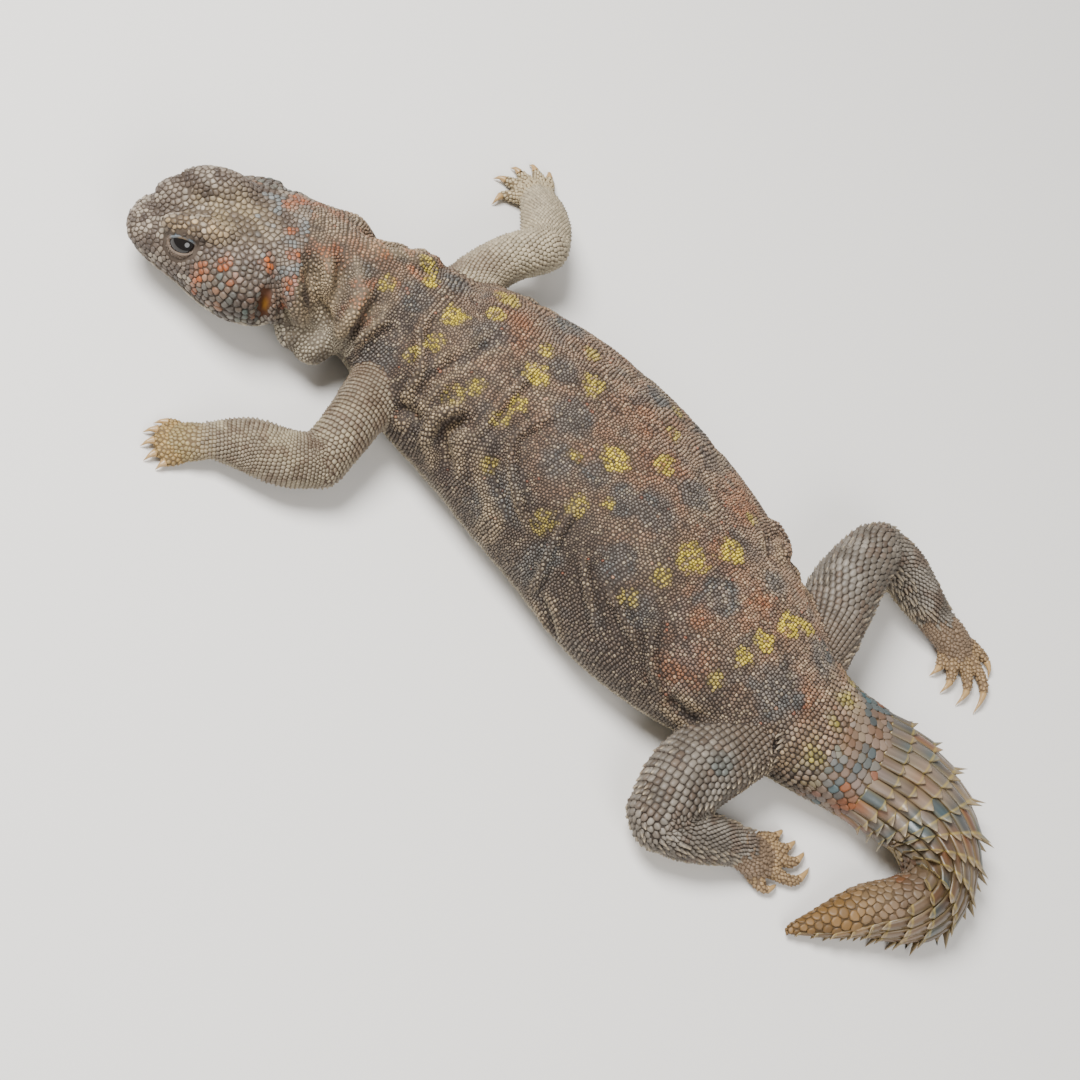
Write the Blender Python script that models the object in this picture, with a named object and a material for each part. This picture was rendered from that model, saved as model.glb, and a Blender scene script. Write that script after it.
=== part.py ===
"""A still, life-size uromastyx lizard, lying on its belly with its head turned and its tail curled round.

+X runs forward to the head, +Y to the animal's left and +Z up. The origin is on the floor under the
middle of the belly. Every size below is in millimetres, and make_object turns them into metres.
"""

import math
import random
from collections import namedtuple

import bmesh
import bpy
import numpy as np
from mathutils import Matrix, Vector

MILLIMETRE = 0.001
GAP = 0.3  # space left between one part of the body and the next
SEED = 7

# The trunk is a line of sections from the snout to the tip of the tail. down is the depth below the
# section's centre. A positive roll tips the back over to the animal's right.
Section = namedtuple("Section", "x y z half_width up down roll squareness")

HEAD_BASE = (71.0, 9.0, 15.4)
HEAD_YAW = 31.5
HEAD_PITCH = -11.0
HEAD_ROLL = 5.0

# The head's own sections: distance in front of its base, half width, up, down and squareness.
HEAD_SECTIONS = (
    (31.6, 1.6, 0.9, 1.6, 2.0),
    (30.5, 4.2, 2.2, 3.5, 2.2),
    (28.6, 6.0, 3.4, 4.8, 2.4),
    (25.4, 7.8, 4.8, 6.1, 2.6),
    (21.0, 9.8, 6.3, 7.5, 2.8),
    (16.5, 12.6, 7.2, 9.0, 2.9),
    (11.0, 14.7, 7.5, 10.0, 3.0),
    (5.0, 14.7, 7.3, 10.4, 2.8),
    (0.0, 12.4, 7.2, 9.6, 2.4),
)

BODY_SECTIONS = (
    Section(64.6, 5.2, 15.4, 12.0, 7.4, 11.0, 4.0, 2.2),
    Section(57.0, 2.2, 13.6, 12.8, 8.8, 11.8, 2.0, 2.1),
    Section(50.0, 0.6, 11.6, 14.8, 10.8, 11.5, 0.0, 2.1),
    Section(42.0, 0.0, 10.0, 18.6, 13.6, 11.2, 0.0, 2.15),
    Section(30.0, -2.2, 10.0, 21.6, 15.6, 11.5, 0.0, 2.2),
    Section(16.0, -3.6, 10.0, 24.4, 16.8, 11.5, 0.0, 2.2),
    Section(0.0, -3.4, 10.0, 25.6, 17.2, 11.5, 0.0, 2.2),
    Section(-18.0, -1.2, 10.0, 25.6, 16.6, 11.5, 0.0, 2.2),
    Section(-32.0, -0.4, 10.0, 22.4, 15.0, 11.4, 0.0, 2.2),
    Section(-44.0, -0.4, 9.8, 17.8, 12.6, 10.8, 0.0, 2.2),
    Section(-53.0, -1.0, 9.2, 14.0, 10.2, 9.8, 0.0, 2.2),
    Section(-60.5, -2.4, 8.6, 12.4, 9.0, 9.0, 0.0, 2.2),
)

TAIL_SECTIONS = (
    Section(-68.6, -5.0, 8.0, 11.9, 8.2, 8.2, 2.0, 2.4),
    Section(-78.2, -7.2, 7.6, 11.7, 7.6, 7.8, 8.0, 2.4),
    Section(-87.0, -6.2, 7.3, 11.2, 7.0, 7.4, 18.0, 2.3),
    Section(-93.2, -1.4, 7.0, 10.3, 6.4, 7.0, 34.0, 2.2),
    Section(-95.6, 5.2, 6.7, 9.1, 5.7, 6.2, 54.0, 2.1),
    Section(-92.8, 11.2, 6.0, 7.3, 5.3, 6.6, 74.0, 2.1),
    Section(-88.2, 16.2, 4.8, 5.6, 4.3, 5.7, 90.0, 2.0),
    Section(-83.8, 22.6, 3.1, 3.5, 2.9, 3.7, 102.0, 2.0),
    Section(-78.9, 29.0, 1.4, 1.1, 0.8, 0.8, 108.0, 2.0),
)

TRUNK_SIDES = 24
TRUNK_STEP = 5.2
HEAD_STEP = 2.1
END_GROWTH = 0.8  # how much of its growth a piece of the trunk takes at its ends
ROUND_TOP = 2.1  # most squareness that the upper half of a section has

# The number of the section that each cut through the trunk passes through.
HEAD_END = len(HEAD_SECTIONS) - 1
NECK_END = HEAD_END + 2
TORSO_END = HEAD_END + len(BODY_SECTIONS)

# The tail's scales stand in rings, or whorls. Each whorl rises to its rear edge, which carries a row
# of spines over the back and sides. The tail is cut between whorls, after these numbers of them.
TAIL_CUTS = (3, 8, 13)
WHORL_LENGTH_AT_ROOT = 4.7
WHORL_LENGTH_AT_TIP = 3.0
WHORL_RISE = 0.75
TAIL_SIDES = 18
WHORL_DROP = 0.35  # length of the step from a whorl's rear edge down to the next whorl
LAST_WHORL_TO_TIP = 3.4
SPINE_SPACING = 3.25
SPINE_ARC = (-14.0, 194.0)
SPINE_LENGTH_ON_BACK = 1.8
SPINE_LENGTH_ON_SIDE = 2.9
SPINE_RADIUS = 0.95
SPINE_POINT_RADIUS = 0.12
SPINE_LEAN = 32.0  # angle of a spine away from the skin
SPINE_SIDES = 4
SPINE_ROOT_DEPTH = 0.7
PLAIN_WHORLS = 2  # the first whorls have small scales without spines
SMALL_WHORLS = 3  # the next ones have shorter spines
LOWEST_SPINE = 0.45

# A limb piece is a line of joints, root first.
Joint = namedtuple("Joint", "x y z half_width half_height")

# Each limb piece, with what it grows from.
LIMBS = {
    "upper_arm_left": (
        "torso",
        Joint(44.5, 10.0, 10.6, 6.2, 6.4),
        Joint(43.4, 18.0, 10.6, 5.6, 6.0),
        Joint(42.2, 25.0, 9.8, 5.2, 5.2),
        Joint(41.4, 31.0, 8.2, 5.0, 4.8),
    ),
    "forearm_left": (
        "upper_arm_left",
        Joint(41.2, 32.0, 7.6, 5.0, 4.8),
        Joint(46.0, 36.2, 6.8, 5.4, 5.0),
        Joint(52.4, 39.2, 5.8, 5.2, 4.3),
        Joint(57.8, 43.2, 4.4, 3.5, 2.9),
    ),
    "upper_arm_right": (
        "torso",
        Joint(46.0, -10.0, 10.6, 6.0, 6.2),
        Joint(47.0, -18.0, 11.4, 5.2, 5.6),
        Joint(45.6, -27.0, 12.2, 4.8, 5.0),
        Joint(42.6, -34.2, 12.0, 4.6, 4.6),
    ),
    "forearm_right": (
        "upper_arm_right",
        Joint(42.4, -35.4, 11.6, 4.6, 4.6),
        Joint(45.4, -40.6, 9.0, 5.1, 4.6),
        Joint(48.6, -45.0, 6.6, 4.7, 4.0),
        Joint(51.6, -48.8, 4.2, 3.9, 2.8),
    ),
    "thigh_left": (
        "torso",
        Joint(-49.6, 6.0, 9.8, 7.8, 7.6),
        Joint(-47.8, 16.0, 9.8, 7.9, 7.6),
        Joint(-46.0, 26.0, 9.2, 7.6, 6.8),
        Joint(-46.6, 34.4, 7.6, 6.0, 5.4),
    ),
    "shin_left": (
        "thigh_left",
        Joint(-47.6, 35.0, 7.0, 5.4, 5.2),
        Joint(-53.2, 31.8, 6.2, 5.2, 4.8),
        Joint(-58.4, 27.8, 5.2, 4.4, 4.0),
        Joint(-63.0, 24.4, 4.2, 3.6, 3.2),
    ),
    "thigh_right": (
        "torso",
        Joint(-49.0, -8.0, 9.8, 7.4, 7.4),
        Joint(-47.0, -18.0, 11.2, 7.2, 7.2),
        Joint(-44.6, -29.0, 12.4, 6.8, 6.6),
        Joint(-44.2, -38.8, 12.2, 5.6, 5.4),
    ),
    "shin_right": (
        "thigh_right",
        Joint(-44.6, -41.0, 11.6, 5.2, 5.0),
        Joint(-51.0, -43.4, 9.2, 4.9, 4.8),
        Joint(-57.4, -43.4, 7.2, 4.4, 4.2),
        Joint(-63.6, -43.6, 5.2, 3.5, 3.3),
    ),
}
LIMB_SIDES = 14
LIMB_STEP = 3.2
DOME_RINGS = 2

# Each paw: what it grows from, its palm or sole as a limb piece, and its toes, each as three points
# in plan from the knuckle to the point of the claw.
PAWS = {
    "hand_left": (
        "forearm_left",
        (
            Joint(57.0, 43.0, 4.4, 3.3, 3.0),
            Joint(60.2, 45.8, 2.8, 4.0, 2.7),
            Joint(61.8, 47.4, 2.0, 3.2, 1.9),
        ),
        (
            ((62.0, 44.2), (65.0, 44.8), (67.2, 46.8)),
            ((62.4, 45.8), (65.4, 47.4), (67.2, 49.6)),
            ((61.8, 47.2), (64.4, 49.4), (65.6, 52.0)),
            ((60.8, 48.4), (62.6, 51.0), (63.2, 53.6)),
            ((59.2, 48.8), (60.2, 51.0), (60.6, 53.2)),
        ),
    ),
    "hand_right": (
        "forearm_right",
        (
            Joint(51.0, -48.2, 4.2, 3.8, 3.0),
            Joint(53.8, -50.4, 2.6, 4.5, 2.6),
            Joint(54.8, -51.2, 2.0, 3.6, 1.9),
        ),
        (
            ((52.0, -54.0), (53.4, -56.2), (55.0, -58.2)),
            ((54.2, -53.6), (56.2, -55.2), (58.6, -56.2)),
            ((55.6, -51.6), (58.0, -52.2), (60.6, -52.2)),
            ((56.2, -49.4), (58.8, -48.6), (61.2, -47.2)),
            ((54.8, -47.0), (57.2, -45.2), (57.4, -42.2)),
        ),
    ),
    "foot_left": (
        "shin_left",
        (
            Joint(-61.6, 25.4, 4.4, 3.8, 3.3),
            Joint(-65.4, 23.6, 3.0, 4.4, 2.9),
            Joint(-67.8, 22.4, 2.1, 3.8, 2.0),
        ),
        (
            ((-64.6, 19.0), (-66.4, 16.4), (-67.0, 13.4)),
            ((-66.8, 19.2), (-69.4, 16.4), (-70.2, 13.0)),
            ((-69.2, 20.0), (-72.2, 17.4), (-72.8, 13.4)),
            ((-70.2, 22.6), (-74.6, 20.0), (-75.4, 15.0)),
            ((-67.2, 26.0), (-71.4, 25.8), (-72.6, 22.8)),
        ),
    ),
    "foot_right": (
        "shin_right",
        (
            Joint(-62.4, -43.2, 5.4, 3.7, 3.3),
            Joint(-68.0, -44.6, 3.4, 4.2, 3.1),
            Joint(-71.6, -45.2, 2.2, 3.8, 2.1),
        ),
        (
            ((-69.2, -42.2), (-70.4, -39.2), (-70.2, -36.2)),
            ((-71.6, -42.0), (-73.8, -38.8), (-74.0, -35.0)),
            ((-73.8, -43.4), (-77.4, -40.4), (-78.0, -35.6)),
            ((-74.4, -45.6), (-80.0, -43.2), (-81.8, -37.2)),
            ((-72.4, -48.0), (-76.8, -48.4), (-79.8, -46.2)),
        ),
    ),
}
KNUCKLE = (1.9, 1.5)  # height and radius of a toe at its root
TOE_PAD = (1.25, 1.2)
CLAW_ROOT = (1.4, 0.75)
CLAW_ARCH = (1.4, 0.5)
CLAW_POINT = (0.3, 0.14)
CLAW_SHARE = 0.32  # how much of a toe's length is claw
TOE_SIDES = 5
TOE_RINGS = 5

# The loose skin of the throat, under the neck.
THROAT_CENTRE = (62.6, 7.8, 8.2)
THROAT_RADII = (6.2, 13.4, 7.0)
THROAT_YAW = 28.0

# Eyes, ears, nostrils and mouth, in the head's own frame: forward from its base, out to the side
# from its middle plane, and up from its axis.
EYE_CENTRE = (20.6, 5.5, 3.4)
EYE_RADIUS = 3.0
LID_THICKNESS = 0.8
EYE_OPENING = (2.7, 3.0, 1.5)
BROW_CENTRE = (19.4, 5.5, 6.5)
BROW_RADII = (6.2, 2.7, 2.4)
EAR_CENTRE = (4.4, 14.4, 0.6)
EAR_RADII = (1.5, 2.6, 4.0)
NOSTRIL_CENTRE = (30.3, 4.1, 0.5)
NOSTRIL_RADIUS = 0.7
NOSTRIL_RIM_RADIUS = 1.3
MOUTH_START = 14.0
MOUTH_DEPTH_AT_CORNER = 4.6
MOUTH_DEPTH_AT_SNOUT = 1.6
MOUTH_POINTS = 14
MOUTH_GROOVE_RADIUS = 0.42
LIP_RADIUS = 0.7
LIP_RISE = 0.85

SKIN_COLOURS = {
    "head": (0.27, 0.24, 0.20),
    "neck": (0.23, 0.19, 0.16),
    "torso": (0.20, 0.16, 0.13),
    "tail": (0.33, 0.26, 0.19),
    "arm": (0.38, 0.33, 0.25),
    "leg": (0.21, 0.19, 0.16),
}
EYE_COLOUR = (0.01, 0.01, 0.01)
SKIN_ROUGHNESS = 0.7
EYE_ROUGHNESS = 0.08


class Line:
    """A smooth line through rows of values whose first three are a point, read at a distance along it."""

    def __init__(self, rows):
        self.rows = np.array(rows, float)
        steps = np.linalg.norm(np.diff(self.rows[:, :3], axis=0), axis=1)
        self.stops = np.concatenate([[0.0], np.cumsum(steps)])
        self.length = self.stops[-1]

    def slope(self, number):
        low = max(number - 1, 0)
        high = min(number + 1, len(self.rows) - 1)
        return (self.rows[high] - self.rows[low]) / (self.stops[high] - self.stops[low])

    def at(self, distance):
        number = int(np.searchsorted(self.stops, distance)) - 1
        number = min(max(number, 0), len(self.rows) - 2)
        span = self.stops[number + 1] - self.stops[number]
        t = (distance - self.stops[number]) / span
        return (
            self.rows[number] * (2 * t**3 - 3 * t**2 + 1)
            + self.slope(number) * span * (t**3 - 2 * t**2 + t)
            + self.rows[number + 1] * (3 * t**2 - 2 * t**3)
            + self.slope(number + 1) * span * (t**3 - t**2)
        )

    def frame(self, distance, roll=0.0):
        """The directions forward, left and up at this distance, turned by roll about forward."""
        step = 0.1
        forward = Vector((self.at(distance + step) - self.at(distance - step))[:3]).normalized()
        left = Vector((0, 0, 1)).cross(forward).normalized()
        up = forward.cross(left)
        turn = math.radians(roll)
        return (
            forward,
            left * math.cos(turn) + up * math.sin(turn),
            up * math.cos(turn) - left * math.sin(turn),
        )


def head_matrix():
    """Turns a place in the head's own frame into one in the body's."""
    return (
        Matrix.Translation(HEAD_BASE)
        @ Matrix.Rotation(math.radians(HEAD_YAW), 4, "Z")
        @ Matrix.Rotation(-math.radians(HEAD_PITCH), 4, "Y")
        @ Matrix.Rotation(math.radians(HEAD_ROLL), 4, "X")
    )


def trunk_line():
    """The line of the whole trunk. It starts at the snout, so its forward points to the tail."""
    rows = []
    for forward, half_width, up, down, squareness in HEAD_SECTIONS:
        place = head_matrix() @ Vector((forward, 0, 0))
        rows.append((*place, half_width, up, down, HEAD_ROLL, squareness))
    return Line(rows + list(BODY_SECTIONS) + list(TAIL_SECTIONS))


def power(value, exponent):
    return math.copysign(abs(value) ** exponent, value)


def ring(centre, left, up_way, half_width, up, down, squareness, sides):
    """The points of a rounded section, with none below the floor."""
    points = []
    for number in range(sides):
        angle = math.tau * number / sides
        exponent = 2 / min(squareness, ROUND_TOP) if math.sin(angle) > 0 else 2 / squareness
        across = half_width * power(math.cos(angle), exponent)
        rise = power(math.sin(angle), exponent) * (up if math.sin(angle) > 0 else down)
        point = centre + left * across + up_way * rise
        point.z = max(point.z, 0.0)
        points.append(point)
    return points


def trunk_ring(line, distance, grow=0.0, sides=TRUNK_SIDES):
    """One section of the trunk. Its line runs backward, so its left is turned round."""
    x, y, z, half_width, up, down, roll, squareness = line.at(distance)
    _, left, up_way = line.frame(distance, -roll)
    return ring(
        Vector((x, y, z)), -left, up_way,
        half_width + grow, up + grow, down + grow, squareness, sides,
    )


def limb_ring(line, distance, grow=0.0, share=1.0, sides=LIMB_SIDES):
    """One section of a limb. share shrinks it towards its centre for a rounded end."""
    x, y, z, half_width, half_height = line.at(distance)
    _, left, up_way = line.frame(distance)
    half_width = (half_width + grow) * share
    half_height = (half_height + grow) * share
    return ring(Vector((x, y, z)), left, up_way, half_width, half_height, half_height, 2.0, sides)


def loft(rings):
    """A closed mesh through rings of points."""
    shape = bmesh.new()
    loops = [[shape.verts.new(point) for point in points] for points in rings]
    sides = len(rings[0])
    for front, back in zip(loops, loops[1:]):
        for number in range(sides):
            after = (number + 1) % sides
            shape.faces.new((front[number], front[after], back[after], back[number]))
    shape.faces.new(loops[0])
    shape.faces.new(loops[-1])
    bmesh.ops.recalc_face_normals(shape, faces=shape.faces)
    return shape


def trunk_piece(line, start, end, step, grow=0.0):
    """A length of the trunk between two distances along its line, parted from its neighbours."""
    start += GAP / 2 - END_GROWTH * grow if start > 0 else 0.0
    end -= GAP / 2 - END_GROWTH * grow if end < line.length else 0.0
    count = max(2, round((end - start) / step))
    return loft([trunk_ring(line, start + (end - start) * n / count, grow) for n in range(count + 1)])


def whorl_starts(line):
    """The distance along the trunk at which each whorl of the tail starts, and where the last ends."""
    root = line.stops[TORSO_END]
    starts = [root]
    while starts[-1] < line.length - LAST_WHORL_TO_TIP - WHORL_LENGTH_AT_TIP / 2:
        share = (starts[-1] - root) / (line.length - root)
        length = WHORL_LENGTH_AT_ROOT + (WHORL_LENGTH_AT_TIP - WHORL_LENGTH_AT_ROOT) * share
        starts.append(starts[-1] + length)
    return starts


def size_of_tail(line, distance):
    """How thick the tail is here, as a share of its root."""
    return line.at(distance)[3] / line.at(line.stops[TORSO_END])[3]


def tail_piece(line, whorls, first, last):
    """A length of the tail: a row of whorls, each a ring that widens to its rear edge."""
    rings = []
    for number in range(first, last):
        start = whorls[number] + (GAP / 2 if number == first else 0.0)
        end = whorls[number + 1] - (GAP / 2 if number == last - 1 else WHORL_DROP)
        rise = WHORL_RISE * size_of_tail(line, end) * (0.4 if number < PLAIN_WHORLS else 1.0)
        rings.append(trunk_ring(line, start, 0.0, TAIL_SIDES))
        rings.append(trunk_ring(line, end, rise, TAIL_SIDES))
    if last == len(whorls) - 1:
        rings.append(trunk_ring(line, whorls[last] + GAP, 0.0, TAIL_SIDES))
        rings.append(trunk_ring(line, line.length, 0.0, TAIL_SIDES))
    return loft(rings)


def clearance_behind(line, whorls, number):
    """The shape of the whorl behind a cut, larger by the gap, to keep the spines before it clear."""
    start = whorls[number] - GAP / 2 + 0.05
    end = whorls[number + 1]
    rise = WHORL_RISE * size_of_tail(line, end)
    return loft([
        trunk_ring(line, start, GAP, TAIL_SIDES),
        trunk_ring(line, end, rise + GAP, TAIL_SIDES),
    ])


def tail_spines(line, whorls, first, last):
    """The spines on the rear edges of a row of whorls, longer at the sides than on the back."""
    draw = random.Random(SEED + first)
    spines = []
    for number in range(max(first, PLAIN_WHORLS), last):
        rear = whorls[number + 1] - WHORL_DROP
        size = size_of_tail(line, rear)
        length_of_whorl = whorls[number + 1] - whorls[number]
        x, y, z, half_width, up, down, roll, squareness = line.at(rear)
        backward, left, up_way = line.frame(rear, -roll)
        centre = Vector((x, y, z))
        from_degrees, to_degrees = SPINE_ARC
        around = math.radians(to_degrees - from_degrees) * (half_width + up) / 2
        count = max(3, round(around / max(SPINE_SPACING * size**0.6, 1.7)))
        for place in range(count):
            share = (place + 0.5 * (number % 2) + 0.25) / count
            angle = math.radians(from_degrees + (to_degrees - from_degrees) * share)
            side = abs(math.cos(angle))
            exponent = 2 / min(squareness, ROUND_TOP)
            outward = -left * power(math.cos(angle), exponent) * half_width
            outward += up_way * power(math.sin(angle), exponent) * (up if math.sin(angle) > 0 else down)
            reach = outward.length + WHORL_RISE * size
            outward.normalize()
            root = centre + outward * (reach - SPINE_ROOT_DEPTH)
            length = SPINE_LENGTH_ON_BACK + (SPINE_LENGTH_ON_SIDE - SPINE_LENGTH_ON_BACK) * side**2
            length *= size**0.5 * draw.uniform(0.88, 1.12)
            length *= 0.55 + 0.45 * min(1.0, (number - PLAIN_WHORLS) / SMALL_WHORLS)
            lean = math.radians(SPINE_LEAN + draw.uniform(-5, 5))
            ahead = line.at(rear + 0.5)[:3] - line.at(rear - 0.5)[:3]
            turn = line.frame(rear + 0.5)[0] - line.frame(rear - 0.5)[0]
            squeeze = 1.0 - max(0.0, turn.dot(outward) / np.linalg.norm(ahead)) * reach
            squeeze = max(squeeze, 0.25)
            lean += math.radians(40) * (1 - squeeze)
            length = min(length, 0.6 + length_of_whorl * squeeze)
            tip = root + outward * (SPINE_ROOT_DEPTH + length * math.sin(lean))
            tip += backward * length * math.cos(lean)
            tip.z = max(tip.z, LOWEST_SPINE)
            root.z = max(root.z, LOWEST_SPINE + SPINE_RADIUS)
            spines.append(spine(root, tip, SPINE_RADIUS * size**0.5 * (0.6 + 0.4 * squeeze)))
    return spines


def spine(root, tip, radius):
    shape = bmesh.new()
    along = tip - root
    place = Matrix.Translation((root + tip) / 2) @ along.to_track_quat("Z", "X").to_matrix().to_4x4()
    bmesh.ops.create_cone(
        shape, cap_ends=True, segments=SPINE_SIDES, radius1=radius, radius2=SPINE_POINT_RADIUS,
        depth=along.length, matrix=place,
    )
    return shape


def limb_piece(joints, grow=0.0, sides=LIMB_SIDES, step=LIMB_STEP):
    """A tapering limb piece with a rounded end at each joint."""
    line = Line(joints)
    reach_at_root = joints[0][4] + grow
    reach_at_tip = joints[-1][4] + grow
    count = max(2, round(line.length / step))
    rings = []
    for number in range(DOME_RINGS):
        turn = math.radians(90) * (number + 0.35) / (DOME_RINGS + 0.35)
        rings.append((-reach_at_root * math.cos(turn), math.sin(turn)))
    rings += [(line.length * number / count, 1.0) for number in range(count + 1)]
    for number in reversed(range(DOME_RINGS)):
        turn = math.radians(90) * (number + 0.35) / (DOME_RINGS + 0.35)
        rings.append((line.length + reach_at_tip * math.cos(turn), math.sin(turn)))
    return loft([dome_ring(line, place, grow, share, sides) for place, share in rings])


def dome_ring(line, distance, grow, share, sides):
    """A limb's section, carried on in a straight line past either end."""
    inside = min(max(distance, 0.0), line.length)
    forward = line.frame(min(max(distance, 0.2), line.length - 0.2))[0]
    points = limb_ring(line, inside, grow, share, sides)
    for point in points:
        point += forward * (distance - inside)
        point.z = max(point.z, 0.0)
    return points


def toe_piece(knuckle, middle, claw_tip):
    """A toe that runs forward from its knuckle, and arches over into a claw that points down."""
    plan = Line([(*place, 0.0) for place in (knuckle, middle, claw_tip)])
    claw_root = 1 - CLAW_SHARE
    profile = (
        (0.0, *KNUCKLE), (claw_root * 0.75, *TOE_PAD), (claw_root, *CLAW_ROOT),
        (claw_root + CLAW_SHARE * 0.45, *CLAW_ARCH), (1.0, *CLAW_POINT),
    )
    shares, heights, radii = zip(*profile)
    rings = []
    for number in range(TOE_RINGS + 1):
        share = number / TOE_RINGS
        x, y, _ = plan.at(plan.length * share)
        _, left, up_way = plan.frame(plan.length * min(max(share, 0.02), 0.98))
        radius = np.interp(share, shares, radii)
        centre = Vector((x, y, np.interp(share, shares, heights)))
        rings.append(ring(centre, left, up_way, radius, radius, radius, 2.0, TOE_SIDES))
    return loft(rings)


def ellipsoid(centre, radii, frame, sides=12, rows=8):
    shape = bmesh.new()
    place = frame @ Matrix.Translation(centre) @ Matrix.Diagonal((*radii, 1.0))
    bmesh.ops.create_uvsphere(shape, u_segments=sides, v_segments=rows, radius=1.0, matrix=place)
    return shape


def tube(points, radius, sides=5):
    """A closed tube of one radius through points."""
    line = Line([(*point, radius) for point in points])
    rings = []
    for stop in line.stops:
        x, y, z, _ = line.at(stop)
        _, left, up_way = line.frame(min(max(stop, 0.1), line.length - 0.1))
        rings.append(ring(Vector((x, y, z)), left, up_way, radius, radius, radius, 2.0, sides))
    return loft(rings)


def skin_material(name, colour, roughness):
    material = bpy.data.materials.new(name)
    material.use_nodes = True
    finish = material.node_tree.nodes["Principled BSDF"]
    finish.inputs["Base Color"].default_value = (*colour, 1.0)
    finish.inputs["Roughness"].default_value = roughness
    finish.inputs["Metallic"].default_value = 0.0
    return material


def make_object(name, shape, collection):
    """An object in metres from a shape in millimetres."""
    bmesh.ops.scale(shape, vec=(MILLIMETRE,) * 3, verts=shape.verts)
    mesh = bpy.data.meshes.new(name)
    shape.to_mesh(mesh)
    shape.free()
    thing = bpy.data.objects.new(name, mesh)
    collection.objects.link(thing)
    return thing


def keep_largest_body(mesh):
    """Drops every closed surface but the one that holds the most."""
    shape = bmesh.new()
    shape.from_mesh(mesh)
    bmesh.ops.triangulate(shape, faces=shape.faces)
    waiting = set(shape.faces)
    bodies = []
    while waiting:
        body = {waiting.pop()}
        edge_of_search = list(body)
        while edge_of_search:
            face = edge_of_search.pop()
            found = {other for edge in face.edges for other in edge.link_faces} & waiting
            waiting -= found
            body |= found
            edge_of_search += found
        bodies.append(body)
    volume = {}
    for number, body in enumerate(bodies):
        corners = [[vertex.co for vertex in face.verts] for face in body]
        volume[number] = sum(a.dot(b.cross(c)) for a, b, c in corners)
    largest = max(volume, key=volume.get)
    lost = [face for number, body in enumerate(bodies) if number != largest for face in body]
    bmesh.ops.delete(shape, geom=lost, context="FACES")
    loose = [vertex for vertex in shape.verts if not vertex.link_faces]
    bmesh.ops.delete(shape, geom=loose, context="VERTS")
    shape.to_mesh(mesh)
    shape.free()


def combine(thing, shapes, operation, solver):
    """Cuts a list of shapes from an object, or fuses them to it, and keeps it one closed body."""
    group = bpy.data.collections.new("pieces for " + thing.name)
    pieces = [make_object(f"{thing.name} piece {n}", shape, group) for n, shape in enumerate(shapes)]
    bpy.context.scene.collection.children.link(group)
    step = thing.modifiers.new(operation.lower(), "BOOLEAN")
    step.operation = operation
    step.operand_type = "COLLECTION"
    step.collection = group
    step.solver = solver
    bpy.context.view_layer.update()
    graph = bpy.context.evaluated_depsgraph_get()
    result = bpy.data.meshes.new_from_object(thing.evaluated_get(graph))
    thing.modifiers.remove(step)
    before = thing.data
    thing.data = result
    bpy.data.meshes.remove(before)
    for piece in pieces:
        bpy.data.objects.remove(piece)
    bpy.data.collections.remove(group)
    keep_largest_body(result)


def both_sides(place):
    """A place in the head's frame, and its mirror image on the other side."""
    forward, out, up = place
    return (forward, out, up), (forward, -out, up)


def head_surface(line, forward, depth):
    """How far out the head reaches, to its own left, at this distance forward and depth."""
    distance = line.stops[HEAD_END] - forward
    _, _, _, half_width, up, down, _, squareness = line.at(distance)
    share = min(depth / down, 0.97)
    return half_width * (1 - share**squareness) ** (1 / squareness)


def mouth_points(line, rise, length):
    """The line of the mouth, from one corner round the snout to the other, in the head's frame."""
    points = []
    for number in range(MOUTH_POINTS + 1):
        turn = math.pi * number / MOUTH_POINTS
        forward = MOUTH_START + (length - MOUTH_START) * math.sin(turn) ** 0.72
        share = (forward - MOUTH_START) / (length - MOUTH_START)
        depth = MOUTH_DEPTH_AT_CORNER + (MOUTH_DEPTH_AT_SNOUT - MOUTH_DEPTH_AT_CORNER) * share
        out = math.copysign(head_surface(line, forward, depth), math.cos(turn))
        points.append(head_matrix() @ Vector((forward, out, rise - depth)))
    return points


def detail_head(head, line):
    """Brows, lids, ears, nostrils, lips and the line of the mouth."""
    frame = head_matrix()
    snout = HEAD_SECTIONS[0][0] - 0.35
    lid_radius = EYE_RADIUS + LID_THICKNESS
    raised = []
    cuts = []
    for place in both_sides(BROW_CENTRE):
        raised.append(ellipsoid(place, BROW_RADII, frame))
    for place in both_sides(EYE_CENTRE):
        raised.append(ellipsoid(place, (lid_radius,) * 3, frame))
        socket_radius = EYE_RADIUS + GAP
        cuts.append(ellipsoid(place, (socket_radius,) * 3, frame, 14, 10))
        forward, out, up = place
        opening = (forward, out + math.copysign(EYE_OPENING[1], out), up - 0.2)
        cuts.append(ellipsoid(opening, EYE_OPENING, frame))
    for place in both_sides(EAR_CENTRE):
        cuts.append(ellipsoid(place, EAR_RADII, frame))
    for place in both_sides(NOSTRIL_CENTRE):
        forward, out, up = place
        rim = (forward - 0.4, out - math.copysign(0.5, out), up)
        raised.append(ellipsoid(rim, (NOSTRIL_RIM_RADIUS,) * 3, frame, 10, 7))
        cuts.append(ellipsoid(place, (NOSTRIL_RADIUS,) * 3, frame, 8, 6))
    for rise in (LIP_RISE, -LIP_RISE):
        raised.append(tube(mouth_points(line, rise, snout - 0.5), LIP_RADIUS))
    cuts.append(tube(mouth_points(line, 0.0, snout + 0.3), MOUTH_GROOVE_RADIUS))
    combine(head, raised, "UNION", "MANIFOLD")
    combine(head, cuts, "DIFFERENCE", "EXACT")


def grown_shape(name, line):
    """The shape of a part of the body, larger by the gap, to cut from what grows from it."""
    if name == "torso":
        return trunk_piece(line, line.stops[NECK_END], line.stops[TORSO_END], TRUNK_STEP, GAP)
    return limb_piece(LIMBS[name][1:], GAP)


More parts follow.
